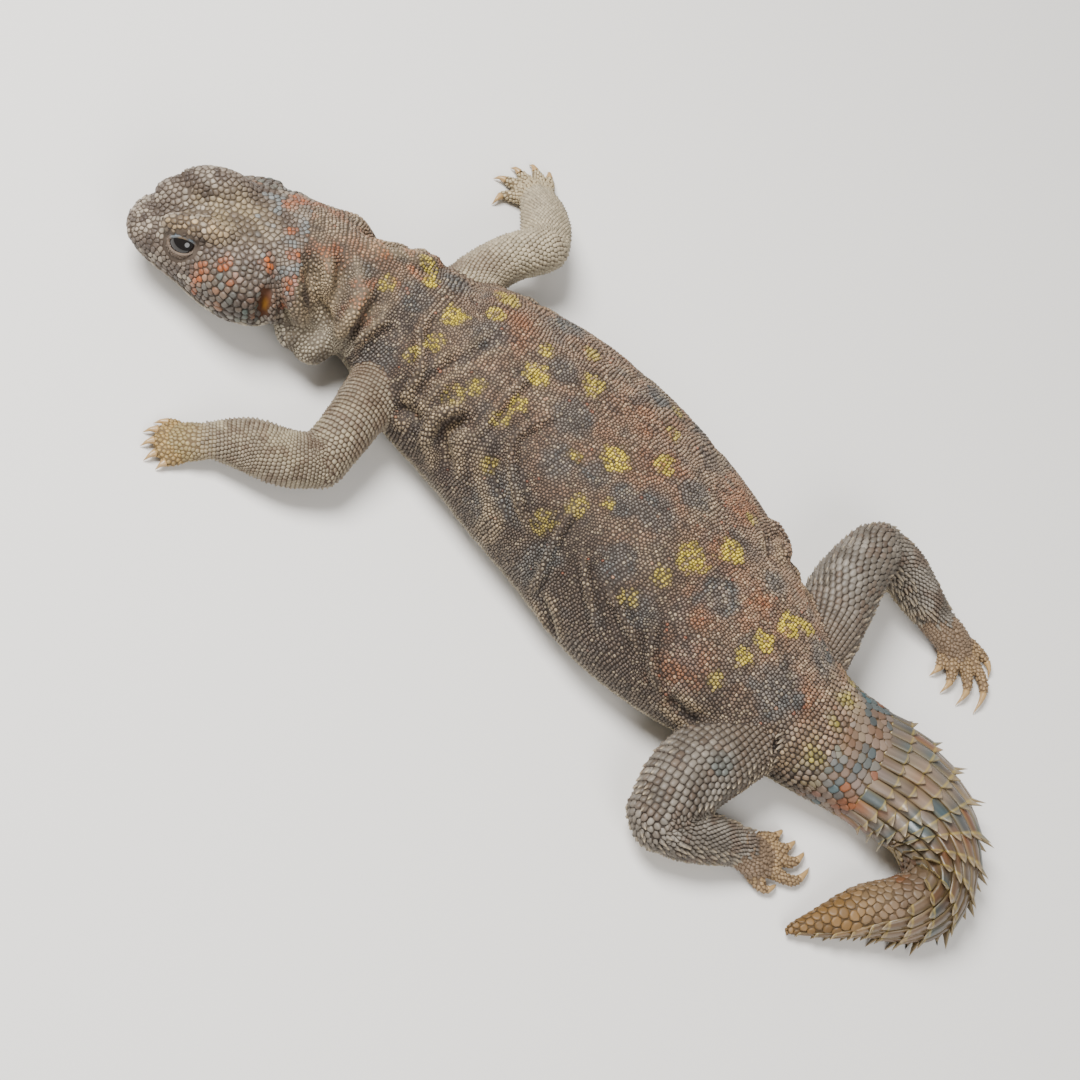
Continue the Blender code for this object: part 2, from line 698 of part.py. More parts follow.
def main():
    for thing in list(bpy.data.objects):
        bpy.data.objects.remove(thing)
    body = bpy.data.collections.new("uromastyx")
    bpy.context.scene.collection.children.link(body)
    line = trunk_line()

    head_end, neck_end, torso_end = (line.stops[n] for n in (HEAD_END, NECK_END, TORSO_END))
    parts = {
        "head": make_object("head", trunk_piece(line, 0.0, head_end, HEAD_STEP), body),
        "neck": make_object("neck", trunk_piece(line, head_end, neck_end, TRUNK_STEP), body),
        "torso": make_object("torso", trunk_piece(line, neck_end, torso_end, TRUNK_STEP), body),
    }
    throat = Matrix.Rotation(math.radians(THROAT_YAW), 4, "Z")
    throat_shape = ellipsoid(throat.inverted() @ Vector(THROAT_CENTRE), THROAT_RADII, throat)
    combine(parts["neck"], [throat_shape], "UNION", "MANIFOLD")
    beside_neck = [
        trunk_piece(line, 0.0, head_end, HEAD_STEP, GAP),
        trunk_piece(line, neck_end, torso_end, TRUNK_STEP, GAP),
    ]
    combine(parts["neck"], beside_neck, "DIFFERENCE", "EXACT")
    detail_head(parts["head"], line)

    whorls = whorl_starts(line)
    cuts = (0, *TAIL_CUTS, len(whorls) - 1)
    for name, first, last in zip(("tail_root", "tail_fore", "tail_bend", "tail_tip"), cuts, cuts[1:]):
        parts[name] = make_object(name, tail_piece(line, whorls, first, last), body)
        combine(parts[name], tail_spines(line, whorls, first, last), "UNION", "MANIFOLD")
        if last < len(whorls) - 1:
            combine(parts[name], [clearance_behind(line, whorls, last)], "DIFFERENCE", "MANIFOLD")

    for name, place in zip(("eye_left", "eye_right"), both_sides(EYE_CENTRE)):
        eyeball = ellipsoid(place, (EYE_RADIUS,) * 3, head_matrix(), 14, 10)
        parts[name] = make_object(name, eyeball, body)

    for name, (parent, *joints) in LIMBS.items():
        parts[name] = make_object(name, limb_piece(joints), body)
        combine(parts[name], [grown_shape(parent, line)], "DIFFERENCE", "EXACT")
    for name, (parent, palm, toes) in PAWS.items():
        parts[name] = make_object(name, limb_piece(palm, step=1.8, sides=12), body)
        combine(parts[name], [toe_piece(*toe) for toe in toes], "UNION", "MANIFOLD")
        combine(parts[name], [grown_shape(parent, line)], "DIFFERENCE", "EXACT")

    for name, part in parts.items():
        region = {"upper": "arm", "forearm": "arm", "hand": "arm"}.get(name.split("_")[0])
        region = region or {"thigh": "leg", "shin": "leg", "foot": "leg"}.get(name.split("_")[0])
        region = region or name.split("_")[0]
        if region == "eye":
            material = skin_material(name, EYE_COLOUR, EYE_ROUGHNESS)
        else:
            material = skin_material(name, SKIN_COLOURS[region], SKIN_ROUGHNESS)
        part.data.materials.clear()
        part.data.materials.append(material)
        part.data.shade_smooth()


main()
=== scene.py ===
"""A still, life-size uromastyx lizard on a plain pale floor, seen from above its left side.

Sizes are in millimetres until an object is made, in the frame of the solids: +X forward to the head,
+Y to the animal's left, +Z up, with the floor at 0.
"""

import math
from collections import namedtuple

import bmesh
import bpy
import numpy as np
from mathutils import Matrix, Vector
from mathutils.kdtree import KDTree


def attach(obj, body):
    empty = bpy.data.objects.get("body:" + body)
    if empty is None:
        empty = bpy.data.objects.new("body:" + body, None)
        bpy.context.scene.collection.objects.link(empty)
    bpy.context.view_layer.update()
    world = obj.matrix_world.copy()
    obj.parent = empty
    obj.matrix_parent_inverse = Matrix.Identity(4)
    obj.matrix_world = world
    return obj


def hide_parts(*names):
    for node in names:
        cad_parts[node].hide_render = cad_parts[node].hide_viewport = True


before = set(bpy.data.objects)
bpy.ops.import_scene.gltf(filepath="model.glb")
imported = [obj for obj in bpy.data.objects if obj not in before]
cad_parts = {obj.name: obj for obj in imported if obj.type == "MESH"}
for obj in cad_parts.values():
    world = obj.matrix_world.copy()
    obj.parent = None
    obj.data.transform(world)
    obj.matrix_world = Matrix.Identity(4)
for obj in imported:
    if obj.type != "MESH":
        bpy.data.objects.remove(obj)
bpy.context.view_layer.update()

# Camera.
# The photo looks steeply down on the back, with the head at the upper left and the left side nearer.
MILLIMETRE = 0.001
camera_place = Vector((3.3, 255.5, 384.6)) * MILLIMETRE
camera_right = Vector((-0.70711, -0.59304, 0.38512))
camera_up = Vector((0.70711, -0.59304, 0.38512))
camera = bpy.data.objects.new("camera", bpy.data.cameras.new("camera"))
camera.data.lens = 81.0
camera.data.sensor_width = 36.0
camera.data.clip_start = 0.01
camera.matrix_world = Matrix.Translation(camera_place) @ Matrix(
    (camera_right, camera_up, camera_right.cross(camera_up))
).transposed().to_4x4()
bpy.context.scene.collection.objects.link(camera)
bpy.context.scene.camera = camera


# Floor.
# A plain pale sheet of matt board, much wider than the animal.
def linear(hex_colour):
    """Turns an sRGB colour such as #a0b0c0 into linear red, green and blue."""
    levels = np.array([int(hex_colour[n : n + 2], 16) / 255 for n in (1, 3, 5)])
    return np.where(levels <= 0.04045, levels / 12.92, ((levels + 0.055) / 1.055) ** 2.4)


def add_node(material, kind, inputs=None, **settings):
    """Adds one node to a material. inputs takes values or the sockets to link from."""
    node = material.node_tree.nodes.new(kind)
    for name, value in settings.items():
        setattr(node, name, value)
    for name, value in (inputs or {}).items():
        if isinstance(value, bpy.types.NodeSocket):
            material.node_tree.links.new(value, node.inputs[name])
        else:
            node.inputs[name].default_value = value
    return node


def new_material(name, roughness, specular):
    """A material of one principled shader, with the shader beside it."""
    material = bpy.data.materials.new(name)
    material.use_nodes = True
    shader = material.node_tree.nodes["Principled BSDF"]
    shader.inputs["Roughness"].default_value = roughness
    shader.inputs["Specular IOR Level"].default_value = specular
    return material, shader


board, board_shader = new_material("matt pale board", 0.85, 0.2)
board_shader.inputs["Base Color"].default_value = (*linear("#e4e1dc"), 1.0)
floor_mesh = bmesh.new()
bmesh.ops.create_grid(floor_mesh, x_segments=1, y_segments=1, size=2.5)
floor = bpy.data.objects.new("floor", bpy.data.meshes.new("floor"))
floor_mesh.to_mesh(floor.data)
floor_mesh.free()
floor.data.materials.append(board)
bpy.context.scene.collection.objects.link(floor)

# Light.
# Two soft boxes and a pale room, with the brighter box over the head, as in the photo.
world = bpy.data.worlds.new("pale room")
world.use_nodes = True
world.node_tree.nodes["Background"].inputs["Color"].default_value = (1.0, 0.985, 0.96, 1.0)
world.node_tree.nodes["Background"].inputs["Strength"].default_value = 0.42
bpy.context.scene.world = world
for name, place, size, power in (
    ("key box", (0.34, 0.10, 0.55), 0.30, 9.0),
    ("fill box", (-0.40, 0.35, 0.50), 0.45, 3.2),
):
    light = bpy.data.objects.new(name, bpy.data.lights.new(name, "AREA"))
    light.data.shape = "DISK"
    light.data.size = size
    light.data.energy = power
    light.location = place
    light.rotation_euler = (Vector(place) - Vector((0, 0, 0.01))).to_track_quat("Z", "Y").to_euler()
    bpy.context.scene.collection.objects.link(light)


# Skin.
# One soft leathery skin under the scales, from the snout to the tail's tip and out to the toes. It is
# made of smooth tubes through the sections of the solids, joined, and then folded and creased.
SEED = 11
SKIN_DEPTH = 0.35  # how far the skin lies inside the solids, which is the height of a scale
ROUND_TOP = 2.1
HEAD_BASE = Vector((71.0, 9.0, 15.4))
HEAD_YAW = 31.5
HEAD_PITCH = -11.0
HEAD_ROLL = 5.0

# Forward from the head's base, half width, up, down, squareness.
HEAD_SECTIONS = (
    (31.6, 1.6, 0.9, 1.6, 2.0),
    (30.5, 4.2, 2.2, 3.5, 2.2),
    (28.6, 6.0, 3.4, 4.8, 2.4),
    (25.4, 7.8, 4.8, 6.1, 2.6),
    (21.0, 9.8, 6.3, 7.5, 2.8),
    (16.5, 12.6, 7.2, 9.0, 2.9),
    (11.0, 14.7, 7.5, 10.0, 3.0),
    (5.0, 14.7, 7.3, 10.4, 2.8),
    (0.0, 12.4, 7.2, 9.6, 2.4),
)

# Forward, left, up, half width, height above and depth below the centre, roll, squareness.
BODY_SECTIONS = (
    (64.6, 5.2, 15.4, 12.0, 7.4, 11.0, 4.0, 2.2),
    (57.0, 2.2, 13.6, 12.8, 8.8, 11.8, 2.0, 2.1),
    (50.0, 0.6, 11.6, 14.8, 10.8, 11.5, 0.0, 2.1),
    (42.0, 0.0, 10.0, 18.6, 13.6, 11.2, 0.0, 2.15),
    (30.0, -2.2, 10.0, 21.6, 15.6, 11.5, 0.0, 2.2),
    (16.0, -3.6, 10.0, 24.4, 16.8, 11.5, 0.0, 2.2),
    (0.0, -3.4, 10.0, 25.6, 17.2, 11.5, 0.0, 2.2),
    (-18.0, -1.2, 10.0, 25.6, 16.6, 11.5, 0.0, 2.2),
    (-32.0, -0.4, 10.0, 22.4, 15.0, 11.4, 0.0, 2.2),
    (-44.0, -0.4, 9.8, 17.8, 12.6, 10.8, 0.0, 2.2),
    (-53.0, -1.0, 9.2, 14.0, 10.2, 9.8, 0.0, 2.2),
    (-60.5, -2.4, 8.6, 12.4, 9.0, 9.0, 0.0, 2.2),
)
TAIL_SECTIONS = (
    (-68.6, -5.0, 8.0, 11.9, 8.2, 8.2, 2.0, 2.4),
    (-78.2, -7.2, 7.6, 11.7, 7.6, 7.8, 8.0, 2.4),
    (-87.0, -6.2, 7.3, 11.2, 7.0, 7.4, 18.0, 2.3),
    (-93.2, -1.4, 7.0, 10.3, 6.4, 7.0, 34.0, 2.2),
    (-95.6, 5.2, 6.7, 9.1, 5.7, 6.2, 54.0, 2.1),
    (-92.8, 11.2, 6.0, 7.3, 5.3, 6.6, 74.0, 2.1),
    (-88.2, 16.2, 4.8, 5.6, 4.3, 5.7, 90.0, 2.0),
    (-83.8, 22.6, 3.1, 3.5, 2.9, 3.7, 102.0, 2.0),
    (-78.9, 29.0, 1.4, 1.1, 0.8, 0.8, 108.0, 2.0),
)

# Each limb's pieces, root first: forward, left, up, half width and half height at each joint.
LIMBS = {
    "arm_left": (
        (44.5, 10.0, 10.6, 6.2, 6.4), (43.4, 18.0, 10.6, 5.6, 6.0), (42.2, 25.0, 9.8, 5.2, 5.2),
        (41.4, 31.0, 8.2, 5.0, 4.8),
    ),
    "forearm_left": (
        (41.2, 32.0, 7.6, 5.0, 4.8), (46.0, 36.2, 6.8, 5.4, 5.0), (52.4, 39.2, 5.8, 5.2, 4.3),
        (57.8, 43.2, 4.4, 3.5, 2.9),
    ),
    "arm_right": (
        (46.0, -10.0, 10.6, 6.0, 6.2), (47.0, -18.0, 11.4, 5.2, 5.6), (45.6, -27.0, 12.2, 4.8, 5.0),
        (42.6, -34.2, 12.0, 4.6, 4.6),
    ),
    "forearm_right": (
        (42.4, -35.4, 11.6, 4.6, 4.6), (45.4, -40.6, 9.0, 5.1, 4.6), (48.6, -45.0, 6.6, 4.7, 4.0),
        (51.6, -48.8, 4.2, 3.9, 2.8),
    ),
    "thigh_left": (
        (-49.6, 6.0, 9.8, 7.8, 7.6), (-47.8, 16.0, 9.8, 7.9, 7.6), (-46.0, 26.0, 9.2, 7.6, 6.8),
        (-46.6, 34.4, 7.6, 6.0, 5.4),
    ),
    "shin_left": (
        (-47.6, 35.0, 7.0, 5.4, 5.2), (-53.2, 31.8, 6.2, 5.2, 4.8), (-58.4, 27.8, 5.2, 4.4, 4.0),
        (-63.0, 24.4, 4.2, 3.6, 3.2),
    ),
    "thigh_right": (
        (-49.0, -8.0, 9.8, 7.4, 7.4), (-47.0, -18.0, 11.2, 7.2, 7.2), (-44.6, -29.0, 12.4, 6.8, 6.6),
        (-44.2, -38.8, 12.2, 5.6, 5.4),
    ),
    "shin_right": (
        (-44.6, -41.0, 11.6, 5.2, 5.0), (-51.0, -43.4, 9.2, 4.9, 4.8), (-57.4, -43.4, 7.2, 4.4, 4.2),
        (-63.6, -43.6, 5.2, 3.5, 3.3),
    ),
    "hand_left": ((57.0, 43.0, 4.4, 3.3, 3.0), (60.2, 45.8, 2.8, 4.0, 2.7), (61.8, 47.4, 2.0, 3.2, 1.9)),
    "hand_right": (
        (51.0, -48.2, 4.2, 3.8, 3.0), (53.8, -50.4, 2.6, 4.5, 2.6), (54.8, -51.2, 2.0, 3.6, 1.9),
    ),
    "foot_left": (
        (-61.6, 25.4, 4.4, 3.8, 3.3), (-65.4, 23.6, 3.0, 4.4, 2.9), (-67.8, 22.4, 2.1, 3.8, 2.0),
    ),
    "foot_right": (
        (-62.4, -43.2, 5.4, 3.7, 3.3), (-68.0, -44.6, 3.4, 4.2, 3.1), (-71.6, -45.2, 2.2, 3.8, 2.1),
    ),
}

# Each toe in plan: knuckle, middle and point of the claw.
TOES = {
    "hand_left": (
        ((62.0, 44.2), (65.0, 44.8), (67.2, 46.8)), ((62.4, 45.8), (65.4, 47.4), (67.2, 49.6)),
        ((61.8, 47.2), (64.4, 49.4), (65.6, 52.0)), ((60.8, 48.4), (62.6, 51.0), (63.2, 53.6)),
        ((59.2, 48.8), (60.2, 51.0), (60.6, 53.2)),
    ),
    "hand_right": (
        ((52.0, -54.0), (53.4, -56.2), (55.0, -58.2)), ((54.2, -53.6), (56.2, -55.2), (58.6, -56.2)),
        ((55.6, -51.6), (58.0, -52.2), (60.6, -52.2)), ((56.2, -49.4), (58.8, -48.6), (61.2, -47.2)),
        ((54.8, -47.0), (57.2, -45.2), (57.4, -42.2)),
    ),
    "foot_left": (
        ((-64.6, 19.0), (-66.4, 16.4), (-67.0, 13.4)), ((-66.8, 19.2), (-69.4, 16.4), (-70.2, 13.0)),
        ((-69.2, 20.0), (-72.2, 17.4), (-72.8, 13.4)), ((-70.2, 22.6), (-74.6, 20.0), (-75.4, 15.0)),
        ((-67.2, 26.0), (-71.4, 25.8), (-72.6, 22.8)),
    ),
    "foot_right": (
        ((-69.2, -42.2), (-70.4, -39.2), (-70.2, -36.2)), ((-71.6, -42.0), (-73.8, -38.8), (-74.0, -35.0)),
        ((-73.8, -43.4), (-77.4, -40.4), (-78.0, -35.6)), ((-74.4, -45.6), (-80.0, -43.2), (-81.8, -37.2)),
        ((-72.4, -48.0), (-76.8, -48.4), (-79.8, -46.2)),
    ),
}
KNUCKLE = (1.9, 1.5)
TOE_PAD = (1.25, 1.2)
CLAW_ROOT = (1.4, 0.75)
CLAW_ARCH = (1.4, 0.5)
CLAW_POINT = (0.3, 0.14)
CLAW_SHARE = 0.32


def unit(vectors):
    return vectors / np.maximum(np.linalg.norm(vectors, axis=-1, keepdims=True), 1e-9)


class Line:
    """A smooth line through rows of values whose first three are a point, read at distances along it."""

    def __init__(self, rows):
        self.rows = np.array(rows, float)
        self.stops = np.r_[0.0, np.cumsum(np.linalg.norm(np.diff(self.rows[:, :3], axis=0), axis=1))]
        self.length = self.stops[-1]
        low = np.r_[0, np.arange(len(self.rows) - 1)]
        high = np.r_[np.arange(1, len(self.rows)), len(self.rows) - 1]
        self.slopes = (self.rows[high] - self.rows[low]) / (self.stops[high] - self.stops[low])[:, None]

    def at(self, distance):
        distance = np.atleast_1d(np.asarray(distance, float))
        number = np.clip(np.searchsorted(self.stops, distance) - 1, 0, len(self.rows) - 2)
        span = (self.stops[number + 1] - self.stops[number])[:, None]
        t = (distance - self.stops[number])[:, None] / span
        return (
            self.rows[number] * (2 * t**3 - 3 * t**2 + 1)
            + self.slopes[number] * span * (t**3 - 2 * t**2 + t)
            + self.rows[number + 1] * (3 * t**2 - 2 * t**3)
            + self.slopes[number + 1] * span * (t**3 - t**2)
        )

    def frames(self, distance, roll=0.0):
        """The directions forward, left and up at these distances, turned by roll about forward."""
        inside = np.clip(np.atleast_1d(distance), 0.1, self.length - 0.1)
        forward = unit((self.at(inside + 0.1) - self.at(inside - 0.1))[:, :3])
        left = unit(np.cross((0.0, 0.0, 1.0), forward))
        up = np.cross(forward, left)
        turn = np.radians(np.broadcast_to(roll, inside.shape))[:, None]
        return (
            forward,
            left * np.cos(turn) + up * np.sin(turn),
            up * np.cos(turn) - left * np.sin(turn),
        )


def signed_power(values, exponent):
    return np.sign(values) * np.abs(values) ** exponent


def section_points(centre, left, up_way, half_width, up, down, squareness, angle):
    """Points at these angles round a rounded section."""
    exponent = np.where(np.sin(angle) > 0, 2 / np.minimum(squareness, ROUND_TOP), 2 / squareness)
    across = half_width * signed_power(np.cos(angle), exponent)
    rise = signed_power(np.sin(angle), exponent) * np.where(np.sin(angle) > 0, up, down)
    points = centre + left * across[..., None] + up_way * rise[..., None]
    points[..., 2] = np.maximum(points[..., 2], SKIN_DEPTH)
    return points


head_turn = (
    Matrix.Rotation(math.radians(HEAD_YAW), 3, "Z")
    @ Matrix.Rotation(-math.radians(HEAD_PITCH), 3, "Y")
    @ Matrix.Rotation(math.radians(HEAD_ROLL), 3, "X")
)
head_axes = np.array(head_turn)


def from_head(places):
    """Turns places in the head's own frame, forward, out to its left and up, into the body's."""
    return np.asarray(places, float) @ head_axes.T + np.array(HEAD_BASE)


def into_head(points):
    return (points - np.array(HEAD_BASE)) @ head_axes


head_rows = [
    (*from_head((forward, 0, 0)), half_width, up, down, HEAD_ROLL, squareness)
    for forward, half_width, up, down, squareness in HEAD_SECTIONS
]
trunk = Line(head_rows + list(BODY_SECTIONS) + list(TAIL_SECTIONS))
HEAD_END = len(HEAD_SECTIONS) - 1
TORSO_END = HEAD_END + len(BODY_SECTIONS)
head_end, neck_end, torso_end = (trunk.stops[n] for n in (HEAD_END, HEAD_END + 2, TORSO_END))


def trunk_points(distance, angle, grow=-SKIN_DEPTH):
    """Points of the trunk at paired distances and angles. Angle 0 is its left, a quarter turn its back."""
    row = trunk.at(distance)
    _, left, up_way = trunk.frames(distance, -row[:, 6])
    return section_points(
        row[:, :3], -left, up_way, np.maximum(row[:, 3] + grow, 0.3), np.maximum(row[:, 4] + grow, 0.3),
        np.maximum(row[:, 5] + grow, 0.3), row[:, 7], angle,
    )


def limb_points(line, distance, angle, grow=-SKIN_DEPTH):
    """Points of a limb, carried on past either end as a dome."""
    inside = np.clip(distance, 0.0, line.length)
    row = line.at(inside)
    forward, left, up_way = line.frames(inside)
    beyond = distance - inside
    reach = np.maximum(row[:, 4] + grow, 0.3)
    share = np.sqrt(np.clip(1 - (beyond / reach) ** 2, 0.01, 1.0))
    centre = row[:, :3] + forward * beyond[:, None]
    half_height = (row[:, 4] + grow) * share
    return section_points(
        centre, left, up_way, (row[:, 3] + grow) * share, half_height, half_height,
        np.full(len(row), 2.0), angle,
    )


def toe_rows(toe, first=0.0, last=1.0, count=8):
    """Rows of a toe: place, half width and half height, from one share of its length to another."""
    plan = Line([(*place, 0.0) for place in toe])
    root = 1 - CLAW_SHARE
    profile = (
        (0.0, *KNUCKLE), (root * 0.75, *TOE_PAD), (root, *CLAW_ROOT),
        (root + CLAW_SHARE * 0.45, *CLAW_ARCH), (1.0, *CLAW_POINT),
    )
    shares, heights, radii = zip(*profile)
    share = np.linspace(first, last, count)
    radius = np.interp(share, shares, radii)
    rows = plan.at(plan.length * share)
    rows[:, 2] = np.interp(share, shares, heights)
    return np.c_[rows, radius, radius]


SAME_PLACE = 1e-5


def open_tube(points):
    """A tube through a grid of points, rings by sides."""
    rings, sides, _ = points.shape
    shape = bmesh.new()
    bmesh.ops.create_grid(shape, x_segments=rings - 1, y_segments=sides, size=1.0)
    for vertex in shape.verts:
        ring = round((vertex.co.x + 1) / 2 * (rings - 1))
        side = round((vertex.co.y + 1) / 2 * sides) % sides
        vertex.co = points[ring, side]
    bmesh.ops.remove_doubles(shape, verts=shape.verts, dist=SAME_PLACE)
    return shape


def loft(points):
    """A tube through a grid of points, closed at both ends."""
    shape = open_tube(points)
    open_edges = [edge for edge in shape.edges if len(edge.link_faces) == 1]
    bmesh.ops.holes_fill(shape, edges=open_edges, sides=0)
    bmesh.ops.recalc_face_normals(shape, faces=shape.faces)
    return shape


def ellipsoid(place, radii, inside_frame=head_turn, at=HEAD_BASE):
    shape = bmesh.new()
    matrix = Matrix.Translation(at) @ inside_frame.to_4x4() @ Matrix.Translation(place)
    bmesh.ops.create_uvsphere(
        shape, u_segments=48, v_segments=32, radius=1.0, matrix=matrix @ Matrix.Diagonal((*radii, 1.0)),
    )
    return shape


def joined(shapes):
    """One mesh in metres from several shapes in millimetres, which are freed."""
    whole = bmesh.new()
    for shape in shapes:
        part = bpy.data.meshes.new("part")
        bmesh.ops.triangulate(shape, faces=shape.faces)
        shape.to_mesh(part)
        shape.free()
        whole.from_mesh(part)
        bpy.data.meshes.remove(part)
    mesh = bpy.data.meshes.new("joined")
    bmesh.ops.scale(whole, vec=(MILLIMETRE,) * 3, verts=whole.verts)
    whole.to_mesh(mesh)
    whole.free()
    return mesh


def grid_of(points_at, distances, sides):
    """Points of a tube on a grid of distances and angles, with the angles beside them."""
    angles = np.linspace(0, math.tau, sides, endpoint=False)
    ring, side = np.meshgrid(distances, angles, indexing="ij")
    points = points_at(ring.ravel(), side.ravel())
    return points.reshape(len(distances), sides, 3), ring.ravel(), side.ravel()


# Guides are points all over the tubes. Each knows its tube and its place round and along it.
guide_points = []
guide_names = []
guide_places = []
guide_forward = []
region_names = []


def add_guides(name, points, distances, angles, forward):
    if name not in region_names:
        region_names.append(name)
    guide_points.append(points.reshape(-1, 3))
    guide_names.append(np.full(len(distances), region_names.index(name)))
    guide_places.append(np.c_[distances, angles])
    guide_forward.append(forward)


flesh = []
points, distances, angles = grid_of(trunk_points, np.linspace(0.0, trunk.length, 330), 120)
flesh.append(loft(points))
names = np.select([distances < head_end, distances < neck_end, distances < torso_end], [0, 1, 2], 3)
for number, name in enumerate(("head", "neck", "torso", "tail")):
    here = names == number
    add_guides(
        name, points.reshape(-1, 3)[here], distances[here], angles[here],
        trunk.frames(distances)[0][here],
    )
limb_lines = {name: Line(joints) for name, joints in LIMBS.items()}
for name, line in limb_lines.items():
    root, tip = LIMBS[name][0][4], LIMBS[name][-1][4]
    along = np.linspace(-root + 0.2, line.length + tip - 0.2, 48)
    points, distances, angles = grid_of(lambda d, a, line=line: limb_points(line, d, a), along, 48)
    flesh.append(loft(points))
    add_guides(name, points, distances, angles, line.frames(np.clip(distances, 0, line.length))[0])
for name, toes in TOES.items():
    for number, toe in enumerate(toes):
        line = Line(toe_rows(toe, 0.0, 0.72))
        along = np.linspace(-1.0, line.length + 0.4, 20)
        points, distances, angles = grid_of(
            lambda d, a, line=line: limb_points(line, d, a, -0.25), along, 24,
        )
        flesh.append(loft(points))
        add_guides(
            name.replace("hand", "finger").replace("foot", "toe"), points, distances, angles,
            line.frames(np.clip(distances, 0, line.length))[0],
        )

THROAT_CENTRE = Vector((62.6, 7.8, 8.2))
THROAT_RADII = (5.9, 13.1, 6.7)
JOWL_CENTRE = Vector((66.0, 10.2, 8.6))
JOWL_RADII = (4.6, 11.4, 6.0)
throat_turn = Matrix.Rotation(math.radians(28.0), 3, "Z")
flesh.append(ellipsoid((0, 0, 0), THROAT_RADII, throat_turn, THROAT_CENTRE))
flesh.append(ellipsoid((0, 0, 0), JOWL_RADII, throat_turn, JOWL_CENTRE))

EYE_CENTRE = (20.6, 5.5, 3.4)
EYE_RADIUS = 3.0
EYE_AXIS = unit(np.array((0.10, 0.79, 0.60)))
BROWS = {1: ((18.4, 4.4, 6.6), (7.0, 2.5, 2.3)), -1: ((17.0, -6.0, 6.6), (7.5, 3.8, 3.6))}
FOREHEAD = ((22.2, -4.2, 4.6), (6.0, 3.8, 2.5))  # from the far brow down to the snout
for side, (brow_centre, brow_radii) in BROWS.items():
    forward, out, up = EYE_CENTRE
    flesh.append(ellipsoid((forward, out * side, up), (3.6, 3.4, 3.4)))
    flesh.append(ellipsoid(brow_centre, brow_radii))
flesh.append(ellipsoid(*FOREHEAD))

VOXEL = 0.5
skin = bpy.data.objects.new("skin", joined(flesh))
bpy.context.scene.collection.objects.link(skin)
remesh = skin.modifiers.new("one skin", "REMESH")
remesh.mode = "VOXEL"
remesh.voxel_size = VOXEL * MILLIMETRE


def settle(thing):
    """Applies the modifiers of an object to its mesh."""
    bpy.context.view_layer.update()
    graph = bpy.context.evaluated_depsgraph_get()
    mesh = bpy.data.meshes.new_from_object(thing.evaluated_get(graph))
    before = thing.data
    thing.modifiers.clear()
    thing.data = mesh
    bpy.data.meshes.remove(before)


settle(skin)


def read_points(mesh):
    points = np.empty(len(mesh.vertices) * 3)
    mesh.vertices.foreach_get("co", points)
    return points.reshape(-1, 3) / MILLIMETRE


def read_normals(mesh):
    normals = np.empty(len(mesh.vertices) * 3)
    mesh.vertex_normals.foreach_get("vector", normals)
    return normals.reshape(-1, 3)


def write_points(mesh, points):
    mesh.vertices.foreach_set("co", (points * MILLIMETRE).ravel())
    mesh.update()


def tree_of(points):
    tree = KDTree(len(points))
    for number, point in enumerate(points):
        tree.insert(point, number)
    tree.balance()
    return tree


def smoothed(points, mesh, weight, rounds):
    """Evens out a mesh's points where weight is above 0."""
    edges = np.empty(len(mesh.edges) * 2, int)
    mesh.edges.foreach_get("vertices", edges)
    ends = np.r_[edges[0::2], edges[1::2]]
    others = np.r_[edges[1::2], edges[0::2]]
    count = np.bincount(ends, minlength=len(points))[:, None]
    for _ in range(rounds):
        sums = [np.bincount(ends, points[others, axis], len(points)) for axis in range(3)]
        points = points + (np.array(sums).T / count - points) * weight[:, None]
    return points


skin_points = read_points(skin.data)
guide_points = np.concatenate(guide_points)
guide_names = np.concatenate(guide_names)
guide_places = np.concatenate(guide_places)
guide_forward = np.concatenate(guide_forward)
guides = tree_of(guide_points)
skin_guide = np.array([guides.find(point)[1] for point in skin_points])

# The skin stretches smoothly from the trunk to each limb.
near_root = np.full(len(skin_points), 0.06)
for name in ("arm_left", "arm_right", "thigh_left", "thigh_right"):
    line = limb_lines[name]
    middle = line.at(line.length * 0.42)[0, :3]
    distance = np.linalg.norm(skin_points - middle, axis=1)
    near_root = np.maximum(near_root, 0.6 * np.clip(1.6 - distance / 9.0, 0, 1))
throat_distance = np.linalg.norm(skin_points - np.array(THROAT_CENTRE), axis=1)
near_root = np.maximum(near_root, 0.5 * np.clip(1.8 - throat_distance / 10.0, 0, 1))
for place, reach in ((BROWS[-1][0], 7.0), ((26.5, -4.6, 4.4), 4.4)):
    distance = np.linalg.norm(skin_points - from_head(place), axis=1)
    near_root = np.maximum(near_root, 0.6 * np.clip(1.8 - distance / reach, 0, 1))
skin_points = smoothed(skin_points, skin.data, near_root, 30)
write_points(skin.data, skin_points)


def hashed(cells, seed):
    """A repeatable random number from 0 to 1 for each cell of a lattice."""
    x, y, z = (cells[..., axis].astype(np.int64) for axis in range(3))
    mixed = (x * 73856093) ^ (y * 19349663) ^ (z * 83492791) ^ (seed * 2654435761)
    mixed = (mixed ^ (mixed >> 13)) * 1274126177 & 0xFFFFFFFF
    return ((mixed ^ (mixed >> 16)) & 0xFFFFFF) / 0xFFFFFF


def cloud(points, size, seed):
    """Smooth noise from 0 to 1 whose patches are about size across."""
    scaled = points / size
    low = np.floor(scaled)
    t = scaled - low
    t = t * t * (3 - 2 * t)
    total = np.zeros(len(points))
    for corner in np.ndindex(2, 2, 2):
        corner = np.array(corner)
        share = np.prod(np.where(corner == 1, t, 1 - t), axis=1)
        total += share * hashed(low + corner, seed)
    return total


def bell(values, middle, spread):
    return np.exp(-(((values - middle) / spread) ** 2))


def faded(share):
    """1 along the middle of a path, fading out towards both its ends."""
    return np.clip(np.sin(np.pi * np.clip(share, 0.02, 0.98)) * 1.6, 0, 1)


STOPS_ON_PATH = 28
FAR_OFF = 1e3


